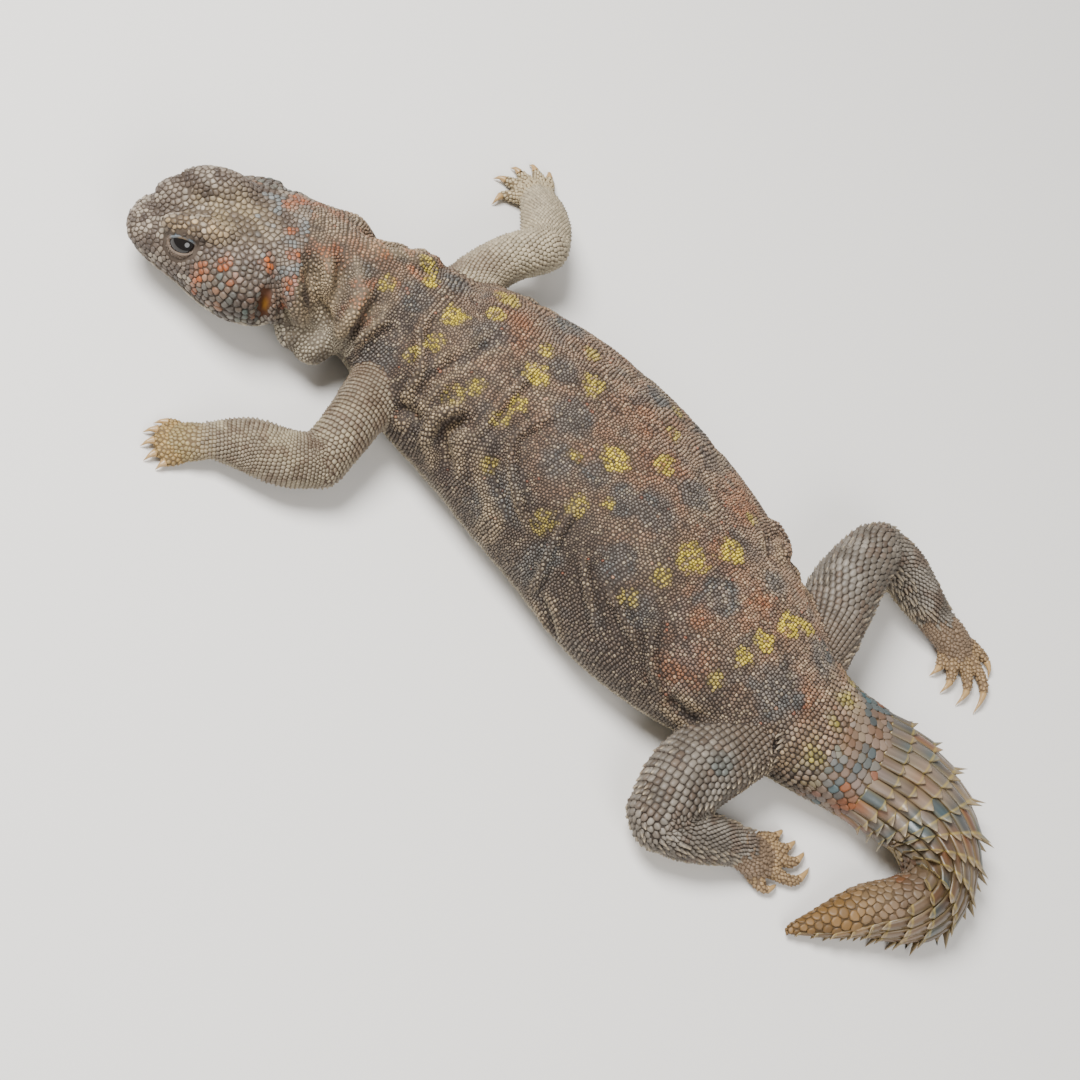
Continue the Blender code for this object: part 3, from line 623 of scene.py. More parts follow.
def near_path(points, path, spread):
    """How far each point is from a smooth path through a few places, and how far along it."""
    line = Line(path)
    along = np.linspace(0, line.length, STOPS_ON_PATH)
    stops = line.at(along)[:, :3]
    near = np.flatnonzero(np.linalg.norm(points - stops.mean(axis=0), axis=1) < line.length + spread * 6)
    distance = np.full(len(points), FAR_OFF)
    share = np.zeros(len(points))
    if len(near):
        gaps = np.linalg.norm(points[near, None] - stops[None], axis=2)
        best = gaps.argmin(axis=1)
        distance[near] = gaps[np.arange(len(near)), best]
        share[near] = along[best] / line.length
    return distance, share


# Folds: the width of each, how far it stands up or, below 0, sinks, and the places it passes through.
FOLDS = (
    (
        1.3, -3.6, (69.9, 11.0, 22.6), (66.8, 13.1, 22.3), (64.0, 15.0, 21.0), (61.0, 16.4, 17.4),
        (58.6, 16.9, 11.5),
    ),
    (
        1.3, -2.6, (65.8, 7.4, 22.8), (62.6, 9.6, 22.4), (60.2, 13.2, 20.6), (58.6, 15.6, 17.0),
        (57.4, 15.2, 12.0),
    ),
    (
        0.8, -1.8, (73.4, 16.4, 21.6), (71.0, 18.5, 21.1), (68.4, 20.2, 19.6), (65.0, 20.0, 14.6),
        (62.0, 17.8, 8.5),
    ),
    (0.9, 0.8, (67.3, 17.3, 21.0), (64.9, 18.8, 18.7), (61.9, 17.5, 14.8), (59.6, 17.1, 12.3)),
    (0.9, 0.8, (57.5, 6.7, 22.1), (56.6, 10.0, 21.1), (55.6, 13.3, 18.6), (55.2, 14.7, 14.0)),
    (0.9, -1.3, (55.2, 6.3, 21.9), (54.3, 10.0, 20.7), (53.6, 13.0, 18.4), (53.2, 14.5, 13.6)),
    (0.7, 0.7, (50.3, 7.6, 20.9), (51.9, 11.4, 19.0), (52.4, 14.1, 14.6)),
    (
        0.7, 0.8, (47.1, 1.0, 22.1), (45.3, 6.2, 21.5), (41.0, 10.6, 21.0), (39.2, 14.6, 18.2),
        (37.7, 16.8, 15.8),
    ),
    (
        0.8, -1.0, (36.3, 3.4, 24.1), (37.2, 7.5, 22.8), (37.8, 11.2, 21.0), (37.0, 14.5, 18.7),
        (36.0, 16.5, 16.0),
    ),
    (0.7, -0.6, (34.8, -3.5, 24.8), (35.4, 1.4, 24.4), (35.6, 5.5, 23.8)),
    (
        1.0, 1.2, (28.7, 11.1, 22.3), (30.9, 13.1, 20.9), (31.8, 15.0, 18.9), (31.1, 16.8, 16.6),
        (30.2, 18.2, 13.1),
    ),
    (
        1.2, -1.9, (27.4, 11.4, 22.3), (29.2, 14.1, 20.1), (29.0, 16.4, 17.4), (26.0, 17.9, 15.6),
        (23.4, 18.8, 12.4),
    ),
    (1.1, -1.6, (39.1, 17.2, 14.8), (36.0, 16.8, 16.0), (33.2, 17.2, 15.6)),
    (
        0.6, 0.7, (26.3, -3.6, 25.9), (25.9, 2.1, 25.6), (25.7, 6.5, 24.6), (25.1, 10.9, 22.8),
        (24.1, 15.0, 19.9),
    ),
    (
        0.6, 0.9, (17.1, 0.3, 26.4), (18.8, 5.0, 25.5), (19.6, 9.5, 24.0), (17.0, 12.6, 22.6),
        (13.4, 15.0, 21.3), (9.1, 17.1, 19.8), (4.8, 18.9, 18.3),
    ),
    (
        0.6, 0.9, (3.1, 10.4, 24.6), (2.0, 15.4, 21.9), (0.5, 19.1, 18.7), (-1.3, 21.6, 15.0),
        (-2.2, 22.5, 10.5),
    ),
    (0.6, 0.8, (-3.2, 15.1, 22.5), (-7.6, 18.2, 20.5), (-12.2, 20.7, 18.8), (-17.1, 21.6, 16.0)),
    (0.6, 0.8, (-11.3, 17.1, 21.8), (-15.9, 18.2, 21.0), (-21.0, 19.2, 19.8), (-24.3, 20.0, 18.2)),
    (0.6, 0.7, (-21.4, 15.1, 22.6), (-24.1, 18.0, 20.3), (-27.4, 20.0, 17.8), (-32.0, 20.5, 15.0)),
    (1.1, -0.9, (21.6, 11.9, 22.6), (18.3, 15.5, 20.2), (13.4, 17.8, 18.6), (8.0, 19.4, 16.8)),
    (0.8, -0.8, (13.6, 18.8, 19.0), (11.6, 21.4, 14.4), (11.4, 22.6, 9.0)),
    (0.9, -0.8, (-2.7, 22.7, 12.8), (-7.0, 23.3, 11.1), (-11.7, 23.4, 7.4)),
    (1.0, -1.0, (-32.7, 20.4, 15.3), (-38.1, 18.6, 13.5), (-41.0, 17.4, 14.0)),
    (0.9, -0.9, (-52.4, 8.0, 17.4), (-53.6, 11.6, 14.4), (-54.0, 12.6, 9.6)),
    (2.3, -2.7, (69.0, -1.0, 22.4), (65.6, -5.0, 20.6), (62.6, -8.4, 14.4), (61.0, -9.8, 8.4)),
    (1.0, -1.4, (62.4, -1.0, 22.0), (59.4, -6.6, 19.6), (57.6, -10.6, 13.4)),
    (0.9, 0.8, (56.4, -3.0, 21.4), (54.0, -8.6, 18.8), (53.4, -11.6, 13.4)),
    (0.9, -1.1, (36.0, -16.0, 19.8), (33.4, -20.4, 15.8), (33.0, -22.4, 9.4)),
    (0.7, 0.8, (14.0, -22.0, 19.6), (11.0, -26.0, 14.6), (10.6, -27.4, 8.4)),
    (0.7, 0.8, (-6.0, -21.6, 19.8), (-8.6, -25.6, 14.4), (-9.0, -27.0, 8.4)),
    (1.3, 1.7, (-24.0, -20.2, 19.4), (-28.6, -19.8, 18.2), (-31.2, -14.8, 21.6)),
    (1.0, -1.1, (-25.4, -16.3, 22.5), (-27.7, -14.9, 22.7), (-29.6, -11.9, 23.6)),
    (0.9, -1.0, (-34.0, -15.8, 19.4), (-37.6, -17.6, 15.4), (-39.0, -18.0, 10.4)),
)
MOST_SUNK = -3.6
HIGHEST_SKIN = 26.75
MOST_RAISED = 1.5
RIDGE = (1.15, 1.4)  # how much broader and stronger the raised folds are made than their rows say
CREASE = (1.2, 1.15)
normals = read_normals(skin.data)
depth = np.zeros(len(skin_points))
wander = 0.8 + 0.4 * cloud(skin_points, 3.0, 5)
for width, amount, *path in FOLDS:
    distance, share = near_path(skin_points, path, width)
    breadth, strength = RIDGE if amount > 0 else CREASE
    middle = bell(distance, 0, breadth * width)
    beside = bell(distance, 2.6 * width, 1.1 * width)
    depth += strength * amount * faded(share) * wander * (middle - 0.22 * beside)

# Loose skin: wrinkles down the flanks and the neck, closest together at the shoulder and the groin.
flank = np.clip(1.25 - np.abs(normals[:, 2]), 0, 1)
on_trunk = np.isin(guide_names[skin_guide], [1, 2])
slack = 0.35 + 0.75 * bell(skin_points[:, 0], 36.0, 10.0)
slack += 0.5 * bell(skin_points[:, 0], 61.0, 7.0)
slack += 0.35 * bell(skin_points[:, 0], -36.0, 9.0)
bent = skin_points + 2.4 * (cloud(skin_points, 6.0, 6)[:, None] - 0.5) * (1.0, 0.0, 0.0)
wrinkle = 1.0 - np.abs(2 * cloud(bent * (1.0, 0.35, 0.35), 2.4, 8) - 1.0)
depth += np.where(on_trunk, slack * flank * (0.55 * (wrinkle - 0.62)), 0)
depth = np.clip(depth, MOST_SUNK, MOST_RAISED)

# The cup of each ear and the pit of each nostril.
EAR_CENTRE = (4.4, 13.8, 0.9)
EAR_RADII = (1.35, 3.2, 4.5)
EAR_DEPTH = 2.6
NOSTRIL_CENTRE = (30.3, 4.0, 0.9)
NOSTRIL_RADIUS = 0.62


def into_half_head(points):
    """Places in the head's own frame, with those on its right mirrored to its left."""
    return into_head(points) * (1, 0, 1) + np.abs(into_head(points)) * (0, 1, 0)


def ear_share(points):
    """Below 1 inside an ear's opening."""
    return np.linalg.norm((into_half_head(points) - EAR_CENTRE) / EAR_RADII, axis=1)


def nostril_distance(points):
    return np.linalg.norm(into_half_head(points) - NOSTRIL_CENTRE, axis=1)


depth -= EAR_DEPTH * np.clip(1.35 - ear_share(skin_points), 0, 1) ** 0.7
depth += 0.35 * bell(nostril_distance(skin_points), 1.1, 0.5)
depth -= 1.0 * np.clip(1.3 - nostril_distance(skin_points) / NOSTRIL_RADIUS, 0, 1)

# The line of the mouth, a groove between the lips.
MOUTH_START = 14.5
MOUTH_DEPTH_AT_CORNER = 4.4
MOUTH_DEPTH_AT_SNOUT = 1.6


def mouth_height(forward):
    share = (forward - MOUTH_START) / (HEAD_SECTIONS[0][0] - MOUTH_START)
    return -MOUTH_DEPTH_AT_CORNER + (MOUTH_DEPTH_AT_CORNER - MOUTH_DEPTH_AT_SNOUT) * share


def mouth_distance(points):
    """Height above the line of the mouth, and far off behind its corners or away from the head."""
    local = into_head(points)
    beyond = (local[:, 0] < MOUTH_START) | (local[:, 0] > 34) | (np.abs(local[:, 1]) > 17)
    return np.where(beyond, FAR_OFF, local[:, 2] - mouth_height(local[:, 0]))


depth -= 0.5 * bell(mouth_distance(skin_points), 0, 0.4)
resting = skin_points[:, 2] < 1.2
depth[resting] = np.minimum(depth[resting], 0.0)
skin_points = skin_points + normals * depth[:, None]
skin_points[:, 2] = np.clip(skin_points[:, 2], SKIN_DEPTH, HIGHEST_SKIN)
skin_points = smoothed(skin_points, skin.data, np.full(len(skin_points), 0.3), 2)

# Hollows for the eyes, under the lids. Above each the brow is left to overhang it.
HOLLOW_RADIUS = 2.7
HOLLOW_EDGE = 1.5  # how much the hollow's radius grows towards its edge
for side in (1, -1):
    centre = from_head(np.array(EYE_CENTRE) * (1, side, 1))
    axis = EYE_AXIS * (1, side, 1) @ head_axes.T
    offset = skin_points - centre
    radius = np.linalg.norm(offset, axis=1)
    angle = np.arccos(np.clip(offset @ axis / np.maximum(radius, 1e-6), -1, 1))
    local = into_head(skin_points)
    brow_centre, brow_radii = BROWS[side]
    in_brow = np.linalg.norm((local - brow_centre) / brow_radii, axis=1) < 1.12
    ease = np.clip((radius * np.sin(angle) - 2.6) / 0.8, 0, 1)
    facing = (angle < 1.3) & ~in_brow
    hollow = HOLLOW_RADIUS + HOLLOW_EDGE * ease * ease * (3 - 2 * ease)
    shorter = np.minimum(radius, np.where((ease < 1) & facing, hollow, FAR_OFF))
    sunk = centre + offset * (shorter / radius)[:, None]
    skin_points = np.where((radius < 6.5)[:, None], sunk, skin_points)
write_points(skin.data, skin_points)

# Eyelids.
# Thick granular lids over each eye, part of the skin: a cap over the eyeball with an almond opening.
LID_RINGS = 22
LID_SIDES = 72
LID_REACH = 1.4  # how far the lids reach round the eyeball from its axis, in radians


def eye_frame(side):
    """The eye's centre and its axes in the body's frame: out of the eye, forward and up the lid."""
    centre = from_head(np.array(EYE_CENTRE) * (1, side, 1))
    axis = EYE_AXIS * (1, side, 1)
    forward = unit(np.array((1.0, 0.0, 0.0)) - axis * axis[0])
    up = np.cross(axis, forward) * -side
    up = up if up[2] > 0 else -up
    return centre, *(vector @ head_axes.T for vector in (axis, forward, up))


def lid_points(side, ring, turn):
    """Points of the lids. ring runs from 0 at the opening to 1 under the skin round the eye."""
    centre, axis, forward, up = eye_frame(side)
    across = np.cos(turn)
    along = np.sin(turn)
    opening = 1 / np.sqrt((across / 0.90) ** 2 + (along / np.where(along > 0, 0.42, 0.50)) ** 2)
    start = opening * 0.98
    angle = start + (LID_REACH - start) * ring
    rim = bell(ring, 0.08, 0.05)
    upper = np.clip(along * 1.4, 0, 1)
    crease = 0.16 * np.sin(ring * 26.0 - 1.0) * np.clip(ring * 3, 0, 1) * (1 - ring)
    radius = 3.02 + 0.3 * np.clip(ring / 0.08, 0, 1) ** 0.6 + 0.05 * rim + crease - 0.45 * ring**3
    radius += 0.35 * upper * bell(ring, 0.34, 0.18)
    direction = (
        axis * np.cos(angle)[:, None]
        + (forward * across[:, None] + up * along[:, None]) * np.sin(angle)[:, None]
    )
    return centre + direction * radius[:, None]


lid_shapes = []
lid_rings = np.linspace(0, 1, LID_RINGS) ** 1.3
for side in (1, -1):
    points, _, _ = grid_of(lambda ring, turn, side=side: lid_points(side, ring, turn), lid_rings, LID_SIDES)
    shape = open_tube(points)
    bmesh.ops.recalc_face_normals(shape, faces=shape.faces)
    shape.faces.ensure_lookup_table()
    face = shape.faces[len(shape.faces) // 2]
    if face.normal.dot(face.calc_center_median() - Vector(eye_frame(side)[0])) < 0:
        bmesh.ops.reverse_faces(shape, faces=shape.faces)
    lid_shapes.append(shape)

# The eye's opening is cleared of skin, and the lids are joined to the rest.
CLEARED = 3.2
CLEARED_COSINE = 0.80  # of the angle from the eye's axis
whole = bmesh.new()
whole.from_mesh(skin.data)
bmesh.ops.scale(whole, vec=(1 / MILLIMETRE,) * 3, verts=whole.verts)
covered = []
for side in (1, -1):
    centre, axis, _, _ = eye_frame(side)
    centre, axis = Vector(centre), Vector(axis)
    for vertex in whole.verts:
        offset = vertex.co - centre
        if offset.length < CLEARED and offset.dot(axis) > offset.length * CLEARED_COSINE:
            covered.append(vertex)
bmesh.ops.delete(whole, geom=covered, context="VERTS")
skin_only = len(whole.verts)
skin.data.clear_geometry()
whole.to_mesh(skin.data)
whole.free()
with_lids = bmesh.new()
with_lids.from_mesh(skin.data)
for shape in lid_shapes:
    part = bpy.data.meshes.new("lids")
    shape.to_mesh(part)
    shape.free()
    with_lids.from_mesh(part)
    bpy.data.meshes.remove(part)
bmesh.ops.scale(with_lids, vec=(MILLIMETRE,) * 3, verts=with_lids.verts)
with_lids.to_mesh(skin.data)
with_lids.free()
skin.data.shade_smooth()

skin_points = read_points(skin.data)
skin_normals = read_normals(skin.data)
skin_guide = np.array([guides.find(point)[1] for point in skin_points])
skin_tree = tree_of(skin_points)
is_lid = np.arange(len(skin_points)) >= skin_only


def eye_place(points):
    """How far points are round the eye from its axis, in radians, and how high above its middle."""
    angle = np.full(len(points), 9.0)
    height = np.zeros(len(points))
    for side in (1, -1):
        centre, axis, _, up = eye_frame(side)
        way = unit(points - centre)
        here = np.linalg.norm(points - centre, axis=1) < 5.5
        angle = np.where(here, np.arccos(np.clip(way @ axis, -1, 1)), angle)
        height = np.where(here, way @ up, height)
    return angle, height


# Where the scales stand.
# On the trunk and limbs they stand in rows across the body, each row shifted by half a scale, and
# everywhere else they are packed at random, as the granules of a lizard's head and joints are.
SPACING = {
    "head": 0.92, "neck": 0.64, "torso": 0.64, "tail": 1.5, "arm": 0.95, "forearm": 0.72,
    "hand": 0.7, "finger": 0.64, "thigh": 1.4, "shin": 1.1, "foot": 0.74, "toe": 0.66, "lid": 0.5,
}
HIPS_GROW = 13.0  # the last of the body, where the scales grow towards those of the tail
HIPS_SCALE = 1.35
FINE_ON_LEG = 0.68  # the scales of a limb next to the body
FINE_ON_SHIN = 0.72
region_kind = [name.split("_")[0] for name in region_names]
random = np.random.default_rng(SEED)
skin_kind = np.array(region_kind)[guide_names[skin_guide]]
skin_kind[is_lid] = "lid"


def body_spacing(distance):
    """The width of the body's granules at a distance along the trunk."""
    share = np.clip((distance - torso_end + HIPS_GROW) / HIPS_GROW, 0, 1)
    return SPACING["torso"] + (HIPS_SCALE - SPACING["torso"]) * share**1.3


def leg_spacing(kind, distance):
    """The width of the scales along a limb: finer towards the body and towards the foot."""
    share = np.clip(np.asarray(distance) / 14.0, 0, 1)
    if kind in ("thigh", "arm"):
        return FINE_ON_LEG + (SPACING[kind] - FINE_ON_LEG) * share
    return SPACING[kind] + (FINE_ON_SHIN - SPACING[kind]) * share


def spacing_at(points, kinds, distances):
    """The width of the scales here. They are finer round the eyes and mouth and on the throat."""
    spacing = np.array([SPACING[kind] for kind in kinds])
    spacing = np.where(kinds == "torso", body_spacing(distances), spacing)
    for kind in ("arm", "thigh", "shin"):
        spacing = np.where(kinds == kind, leg_spacing(kind, distances), spacing)
    local = into_half_head(points)
    eye_distance = np.linalg.norm(local - EYE_CENTRE, axis=1)
    on_head = kinds == "head"
    cheek = np.clip(1.3 - np.linalg.norm((local - (10.0, 13.5, 0.0)) / (6, 5, 7), axis=1), 0, 1)
    spacing = np.where(on_head, spacing + 0.42 * cheek, spacing)
    spacing = np.where(on_head, np.minimum(spacing, np.maximum(0.66, 0.34 + 0.13 * eye_distance)), spacing)
    spacing = np.where(on_head & (local[:, 0] > 26), np.minimum(spacing, 0.85), spacing)
    spacing = np.where(on_head & (local[:, 2] < -6.5), np.minimum(spacing, 0.8), spacing)
    spacing = np.where(on_head & (local[:, 0] < 4), np.minimum(spacing, 0.74), spacing)
    return spacing


def even_places(points, spacing, shift):
    """Places spread evenly round a closed ring of points, as shares of the number of points."""
    steps = np.linalg.norm(np.roll(points, -1, axis=0) - points, axis=1)
    walked = np.r_[0.0, np.cumsum(steps)]
    count = max(4, round(walked[-1] / spacing))
    return np.interp((np.arange(count) + shift) / count * walked[-1], walked, np.arange(len(points) + 1))


RING_POINTS = 180


def rows_of(points_at, distances, spacings):
    """Distances and angles of scales in rows across a tube."""
    ring_angles = np.linspace(0, math.tau, RING_POINTS, endpoint=False)
    found = []
    for number, (distance, spacing) in enumerate(zip(distances, spacings)):
        ring = points_at(np.full(RING_POINTS, distance), ring_angles)
        places = even_places(ring, spacing, 0.5 * (number % 2))
        found.append(np.c_[np.full(len(places), distance), places / RING_POINTS * math.tau])
    return np.concatenate(found)


WHORL_LENGTH_AT_ROOT = 4.7
WHORL_LENGTH_AT_TIP = 3.0
LAST_WHORL_TO_TIP = 3.4
whorls = [torso_end]
while whorls[-1] < trunk.length - LAST_WHORL_TO_TIP - WHORL_LENGTH_AT_TIP / 2:
    share = (whorls[-1] - torso_end) / (trunk.length - torso_end)
    whorls.append(whorls[-1] + WHORL_LENGTH_AT_ROOT + (WHORL_LENGTH_AT_TIP - WHORL_LENGTH_AT_ROOT) * share)
whorls = np.array(whorls)

SWAY = 1.5  # how far the rows wander from straight rings
JITTER = 0.1
BODY_ROW = 0.97  # how far apart the rows are, in widths of a scale
LEG_ROW = 0.94
NECK_ROWS = round((neck_end - head_end - 0.6) / 0.62)
rooted = []
body_rows = [neck_end + 0.3]
while body_rows[-1] < torso_end - 1.0:
    body_rows.append(body_rows[-1] + BODY_ROW * float(body_spacing(body_rows[-1])))
row_sets = [
    ("neck", trunk_points, np.linspace(head_end + 0.6, neck_end, NECK_ROWS), SPACING["neck"]),
    ("torso", trunk_points, np.array(body_rows), body_spacing(np.array(body_rows))),
]
for name, line in limb_lines.items():
    kind = name.split("_")[0]
    if kind in ("hand", "foot"):
        continue
    leg_rows = [0.0]
    while leg_rows[-1] < line.length + LIMBS[name][-1][4] * 0.5:
        width = leg_spacing(kind, leg_rows[-1]) if kind in ("arm", "thigh", "shin") else SPACING[kind]
        leg_rows.append(leg_rows[-1] + LEG_ROW * float(width))
    row_sets.append((
        name, lambda d, a, line=line: limb_points(line, d, a), np.array(leg_rows),
        np.gradient(np.array(leg_rows)) / LEG_ROW,
    ))
rooted_on_trunk = []
for name, points_at, distances, spacing in row_sets:
    places = rows_of(points_at, distances, np.broadcast_to(spacing, len(distances)))
    placed = points_at(places[:, 0], places[:, 1])
    sway = np.stack([cloud(placed, 4.5, 60 + axis) for axis in range(3)], axis=1) - 0.5
    of_trunk = name in ("neck", "torso")
    loose = 1.0 if of_trunk else 0.35
    placed = placed + loose * (SWAY * sway + random.normal(0.0, JITTER, placed.shape))
    rooted.append(placed)
    rooted_on_trunk.append(np.full(len(placed), of_trunk))

# The tail begins with small scales, and carries two rows of smooth scales to a whorl underneath.
PLAIN_WHORLS = 2
tail_rows = [whorls[0] + 0.5]
while tail_rows[-1] < trunk.length - 0.5:
    grown = min(1.0, (tail_rows[-1] - whorls[0]) / 9.0)
    shrunk = min(1.0, (trunk.length - tail_rows[-1]) / 16.0)
    tail_rows.append(tail_rows[-1] + (1.3 + 0.75 * grown) * (0.5 + 0.5 * shrunk))
tail_rows = np.array(tail_rows)
tail_widths = 1.25 * np.gradient(tail_rows)
places = rows_of(trunk_points, tail_rows, tail_widths)
rooted.append(trunk_points(places[:, 0], places[:, 1]))
rooted_on_trunk.append(np.full(len(places), True))
rooted = np.concatenate(rooted)
rooted_on_trunk = np.concatenate(rooted_on_trunk)


def snapped(points, of_trunk):
    """Moves points to the skin, and drops those too far from it or on the skin of another part."""
    found = [skin_tree.find(point) for point in points]
    index = np.array([item[1] for item in found])
    offset = points - skin_points[index]
    height = np.sum(offset * skin_normals[index], axis=1)
    reach = np.where(of_trunk, 2.0, 0.9)
    keep = (np.abs(height) < reach) & (np.linalg.norm(offset, axis=1) < reach + VOXEL)
    keep &= np.isin(skin_kind[index], ["head", "neck", "torso", "tail"]) == of_trunk
    moved = points - skin_normals[index] * height[:, None]
    return moved[keep], index[keep]


rooted, rooted_skin = snapped(rooted, rooted_on_trunk)

# The rest of the skin is filled with roots at random, none much nearer to another than the spacing there.
PACKING = 0.86
CELL = 1.6
skin_spacing = spacing_at(skin_points, skin_kind, guide_places[skin_guide, 0])
rooted_tree = tree_of(rooted)
nearest = np.array([rooted_tree.find(point)[2] for point in skin_points])
waiting = random.permutation(np.flatnonzero(nearest > skin_spacing * PACKING))
cells = {}


def cell_of(point):
    return tuple(int(math.floor(value / CELL)) for value in point)


for number, point in enumerate(rooted):
    cells.setdefault(cell_of(point), []).append(tuple(point))
filled = []
for index in waiting:
    x, y, z = skin_points[index]
    limit = (skin_spacing[index] * PACKING) ** 2
    home = cell_of((x, y, z))
    crowded = any(
        (other[0] - x) ** 2 + (other[1] - y) ** 2 + (other[2] - z) ** 2 < limit
        for step in np.ndindex(3, 3, 3)
        for other in cells.get((home[0] + step[0] - 1, home[1] + step[1] - 1, home[2] + step[2] - 1), ())
    )
    if not crowded:
        cells.setdefault(home, []).append((x, y, z))
        filled.append(index)
filled = np.array(filled)
roots = np.concatenate([rooted, skin_points[filled]])
root_skin = np.concatenate([rooted_skin, filled])
root_kind = skin_kind[root_skin]
root_guide = skin_guide[root_skin]
root_normal = skin_normals[root_skin]
root_place = guide_places[root_guide]
root_spacing = spacing_at(roots, root_kind, root_place[:, 0])
tail_width_here = np.interp(root_place[:, 0], tail_rows, tail_widths)
root_spacing = np.where(root_kind == "tail", tail_width_here * 1.15, root_spacing)

# Openings stay bare, and so does the back of the tail, which has its own scutes.
bare = (ear_share(roots) < 1.02) & (root_kind == "head")
bare |= nostril_distance(roots) < NOSTRIL_RADIUS
bare |= np.abs(mouth_distance(roots)) < 0.16
SCUTE_ARC = (-24.0, 204.0)
SMOOTH_FROM = 0.60  # the share of the tail beyond which its inner side is smooth
SMOOTH_TO = 0.74
SMOOTH_ARC = 66.0  # how many degrees of the inner side lose their scutes there


def scutes_begin(distance):
    """The angle at which the scutes begin on the inner side of the tail's curl."""
    share = (distance - torso_end) / (trunk.length - torso_end)
    ease = np.clip((share - SMOOTH_FROM) / (SMOOTH_TO - SMOOTH_FROM), 0, 1)
    return SCUTE_ARC[0] + SMOOTH_ARC * ease


root_degrees = np.degrees(root_place[:, 1])
root_degrees = np.where(root_degrees > 270, root_degrees - 360, root_degrees)
on_whorls = (root_place[:, 0] > whorls[PLAIN_WHORLS]) & (root_place[:, 0] < whorls[-1])
on_whorls &= root_kind == "tail"
whorl_end = whorls[np.clip(np.searchsorted(whorls, root_place[:, 0]), 0, len(whorls) - 1)]
scuted = on_whorls & (root_degrees > scutes_begin(whorl_end)) & (root_degrees < SCUTE_ARC[1])

# Colour.
# One marking of the whole animal, read by the skin, the scales and the scutes alike: taupe with pale scale
# tops, rust and slate patches, yellow spots netted with brown on the back, and a pale belly, with painted
# shade down the left flank, the lower sides, under the brows and in the creases, and painted light on the
# folds' ridges, the left brow ridge, the right arm and hand and the scutes' keels.
# Each patch and spot is given as forward, left and radius.
YELLOW_SPOTS = (
    (53.5, -6.7, 1.9), (51.1, -3.7, 1.5), (55.9, 3.9, 1.7), (43.4, -0.9, 2.1), (42.3, 5.7, 1.8),
    (39.3, -12.9, 2.3), (38.4, -7.1, 1.7), (31.0, 7.5, 1.8), (32.7, 11.2, 1.8), (25.2, -2.3, 2.3),
    (27.0, -8.1, 1.5), (23.3, 4.7, 1.7), (23.7, 9.0, 1.6), (21.0, -15.8, 1.8), (16.5, -9.6, 2.3),
    (3.9, -0.7, 2.5), (-3.0, -7.8, 2.0), (-0.3, -15.3, 1.5), (1.8, -22.0, 1.6), (2.8, 10.7, 2.0),
    (5.0, 15.7, 2.1), (-0.7, 6.6, 1.1), (-18.5, 2.3, 2.9), (-22.9, -5.3, 2.4), (-16.9, 9.2, 1.9),
    (-15.2, 15.6, 1.7), (-21.6, -15.6, 1.3), (-40.1, -4.8, 2.3), (-38.5, 2.4, 1.9), (-37.6, 7.5, 1.7),
    (-36.8, 13.5, 1.5), (43.4, 10.1, 1.4), (19.5, 14.9, 1.6), (9.6, 4.5, 1.1), (-43.0, -8.4, 1.6),
)
SLATE_PATCHES = (
    (50.9, 1.6, 3.4), (59.9, 6.2, 3.2), (58.8, -3.4, 2.4), (36.2, -2.0, 3.8), (47.7, -8.5, 2.8),
    (27.7, -18.9, 3.4), (22.0, -7.3, 3.0), (15.2, -0.9, 4.2), (-7.6, 1.1, 4.4), (-10.6, -8.3, 3.4),
    (-2.5, 4.0, 3.2), (-26.8, 3.4, 4.4), (-32.7, -8.7, 2.6), (-47.1, 5.3, 5.0), (-48.6, -7.4, 3.4),
    (47.5, 13.1, 3.0), (0.7, 20.0, 3.0), (-9.4, 12.4, 3.4), (14.7, 16.9, 4.0), (-18.2, 15.8, 3.2),
    (4.5, 3.3, 2.6), (-3.4, -24.0, 2.4), (10.9, 7.1, 3.2), (6.6, -21.4, 2.8),
)
RUST_PATCHES = (
    (7.2, -13.1, 5.6), (-22.4, -1.7, 5.0), (-34.7, -2.2, 5.0), (-25.9, 8.1, 4.4), (-3.2, -5.9, 5.4),
    (-17.7, -16.4, 4.6), (-50.9, 3.4, 3.4), (33.1, -7.4, 4.6), (-31.0, 15.0, 4.4), (64.6, 5.4, 4.2),
    (60.6, 0.6, 3.2),
)
HEAD_FLECKS = (
    (2.4, -8.2, 1.7), (2.3, 0.3, 1.0), (1.0, 5.3, 1.2), (-2.3, 0.1, 1.0), (5.1, 7.8, 1.3), (-6.3, 7.8, 1.8),
    (-0.1, 10.5, 1.4), (12.7, 9.6, 1.2), (16.7, 11.0, 1.1), (3.6, -6.0, 1.3), (10.4, 12.2, 0.9),
)
TEAL_ON_THIGH = (-48.2, 22.3)


def blend(base, colour, share):
    return base + (linear(colour) - base) * np.clip(share, 0, 1)[:, None]


def dapples(points, size, seed, above, gain, most):
    """Patches about size across, where a cloud is above a level, up to the most that they cover."""
    return np.clip((cloud(points, size, seed) - above) * gain, 0, most)


def patchy(points):
    return (cloud(points, 3.4, 22) - 0.4) * 2


def mottled(points):
    return cloud(points, 1.7, 27)


def by_granule(points, size, seed):
    """A random number for each cell of a lattice, so that neighbouring granules differ."""
    return hashed(np.floor(points / size), seed)


def ragged(points):
    return 0.72 + 0.56 * cloud(points, 1.3, 26)


def nearest_patch(points, patches):
    """How far points are from the nearest of these patches, seen from above, in their radii."""
    nearest = np.full(len(points), 9.0)
    for forward, out, radius in patches:
        distance = np.hypot(points[:, 0] - forward, points[:, 1] - out)
        nearest = np.minimum(nearest, distance / radius)
    return nearest


def painted_fold_light(points):
    """Painted light from the skin's folds: above 0 a painted highlight along the raised ridges, below 0
    painted shade down in the creases and beside the ridges.
    """
    light = np.zeros(len(points))
    for width, amount, *path in FOLDS:
        distance, share = near_path(points, path, width)
        middle = bell(distance, 0, 0.85 * width)
        beside = bell(distance, 2.4 * width, width)
        light += np.clip(1.4 * amount, -1.5, 1.0) * faded(share) * (middle - 0.5 * beside)
    return np.clip(light, -1, 1)


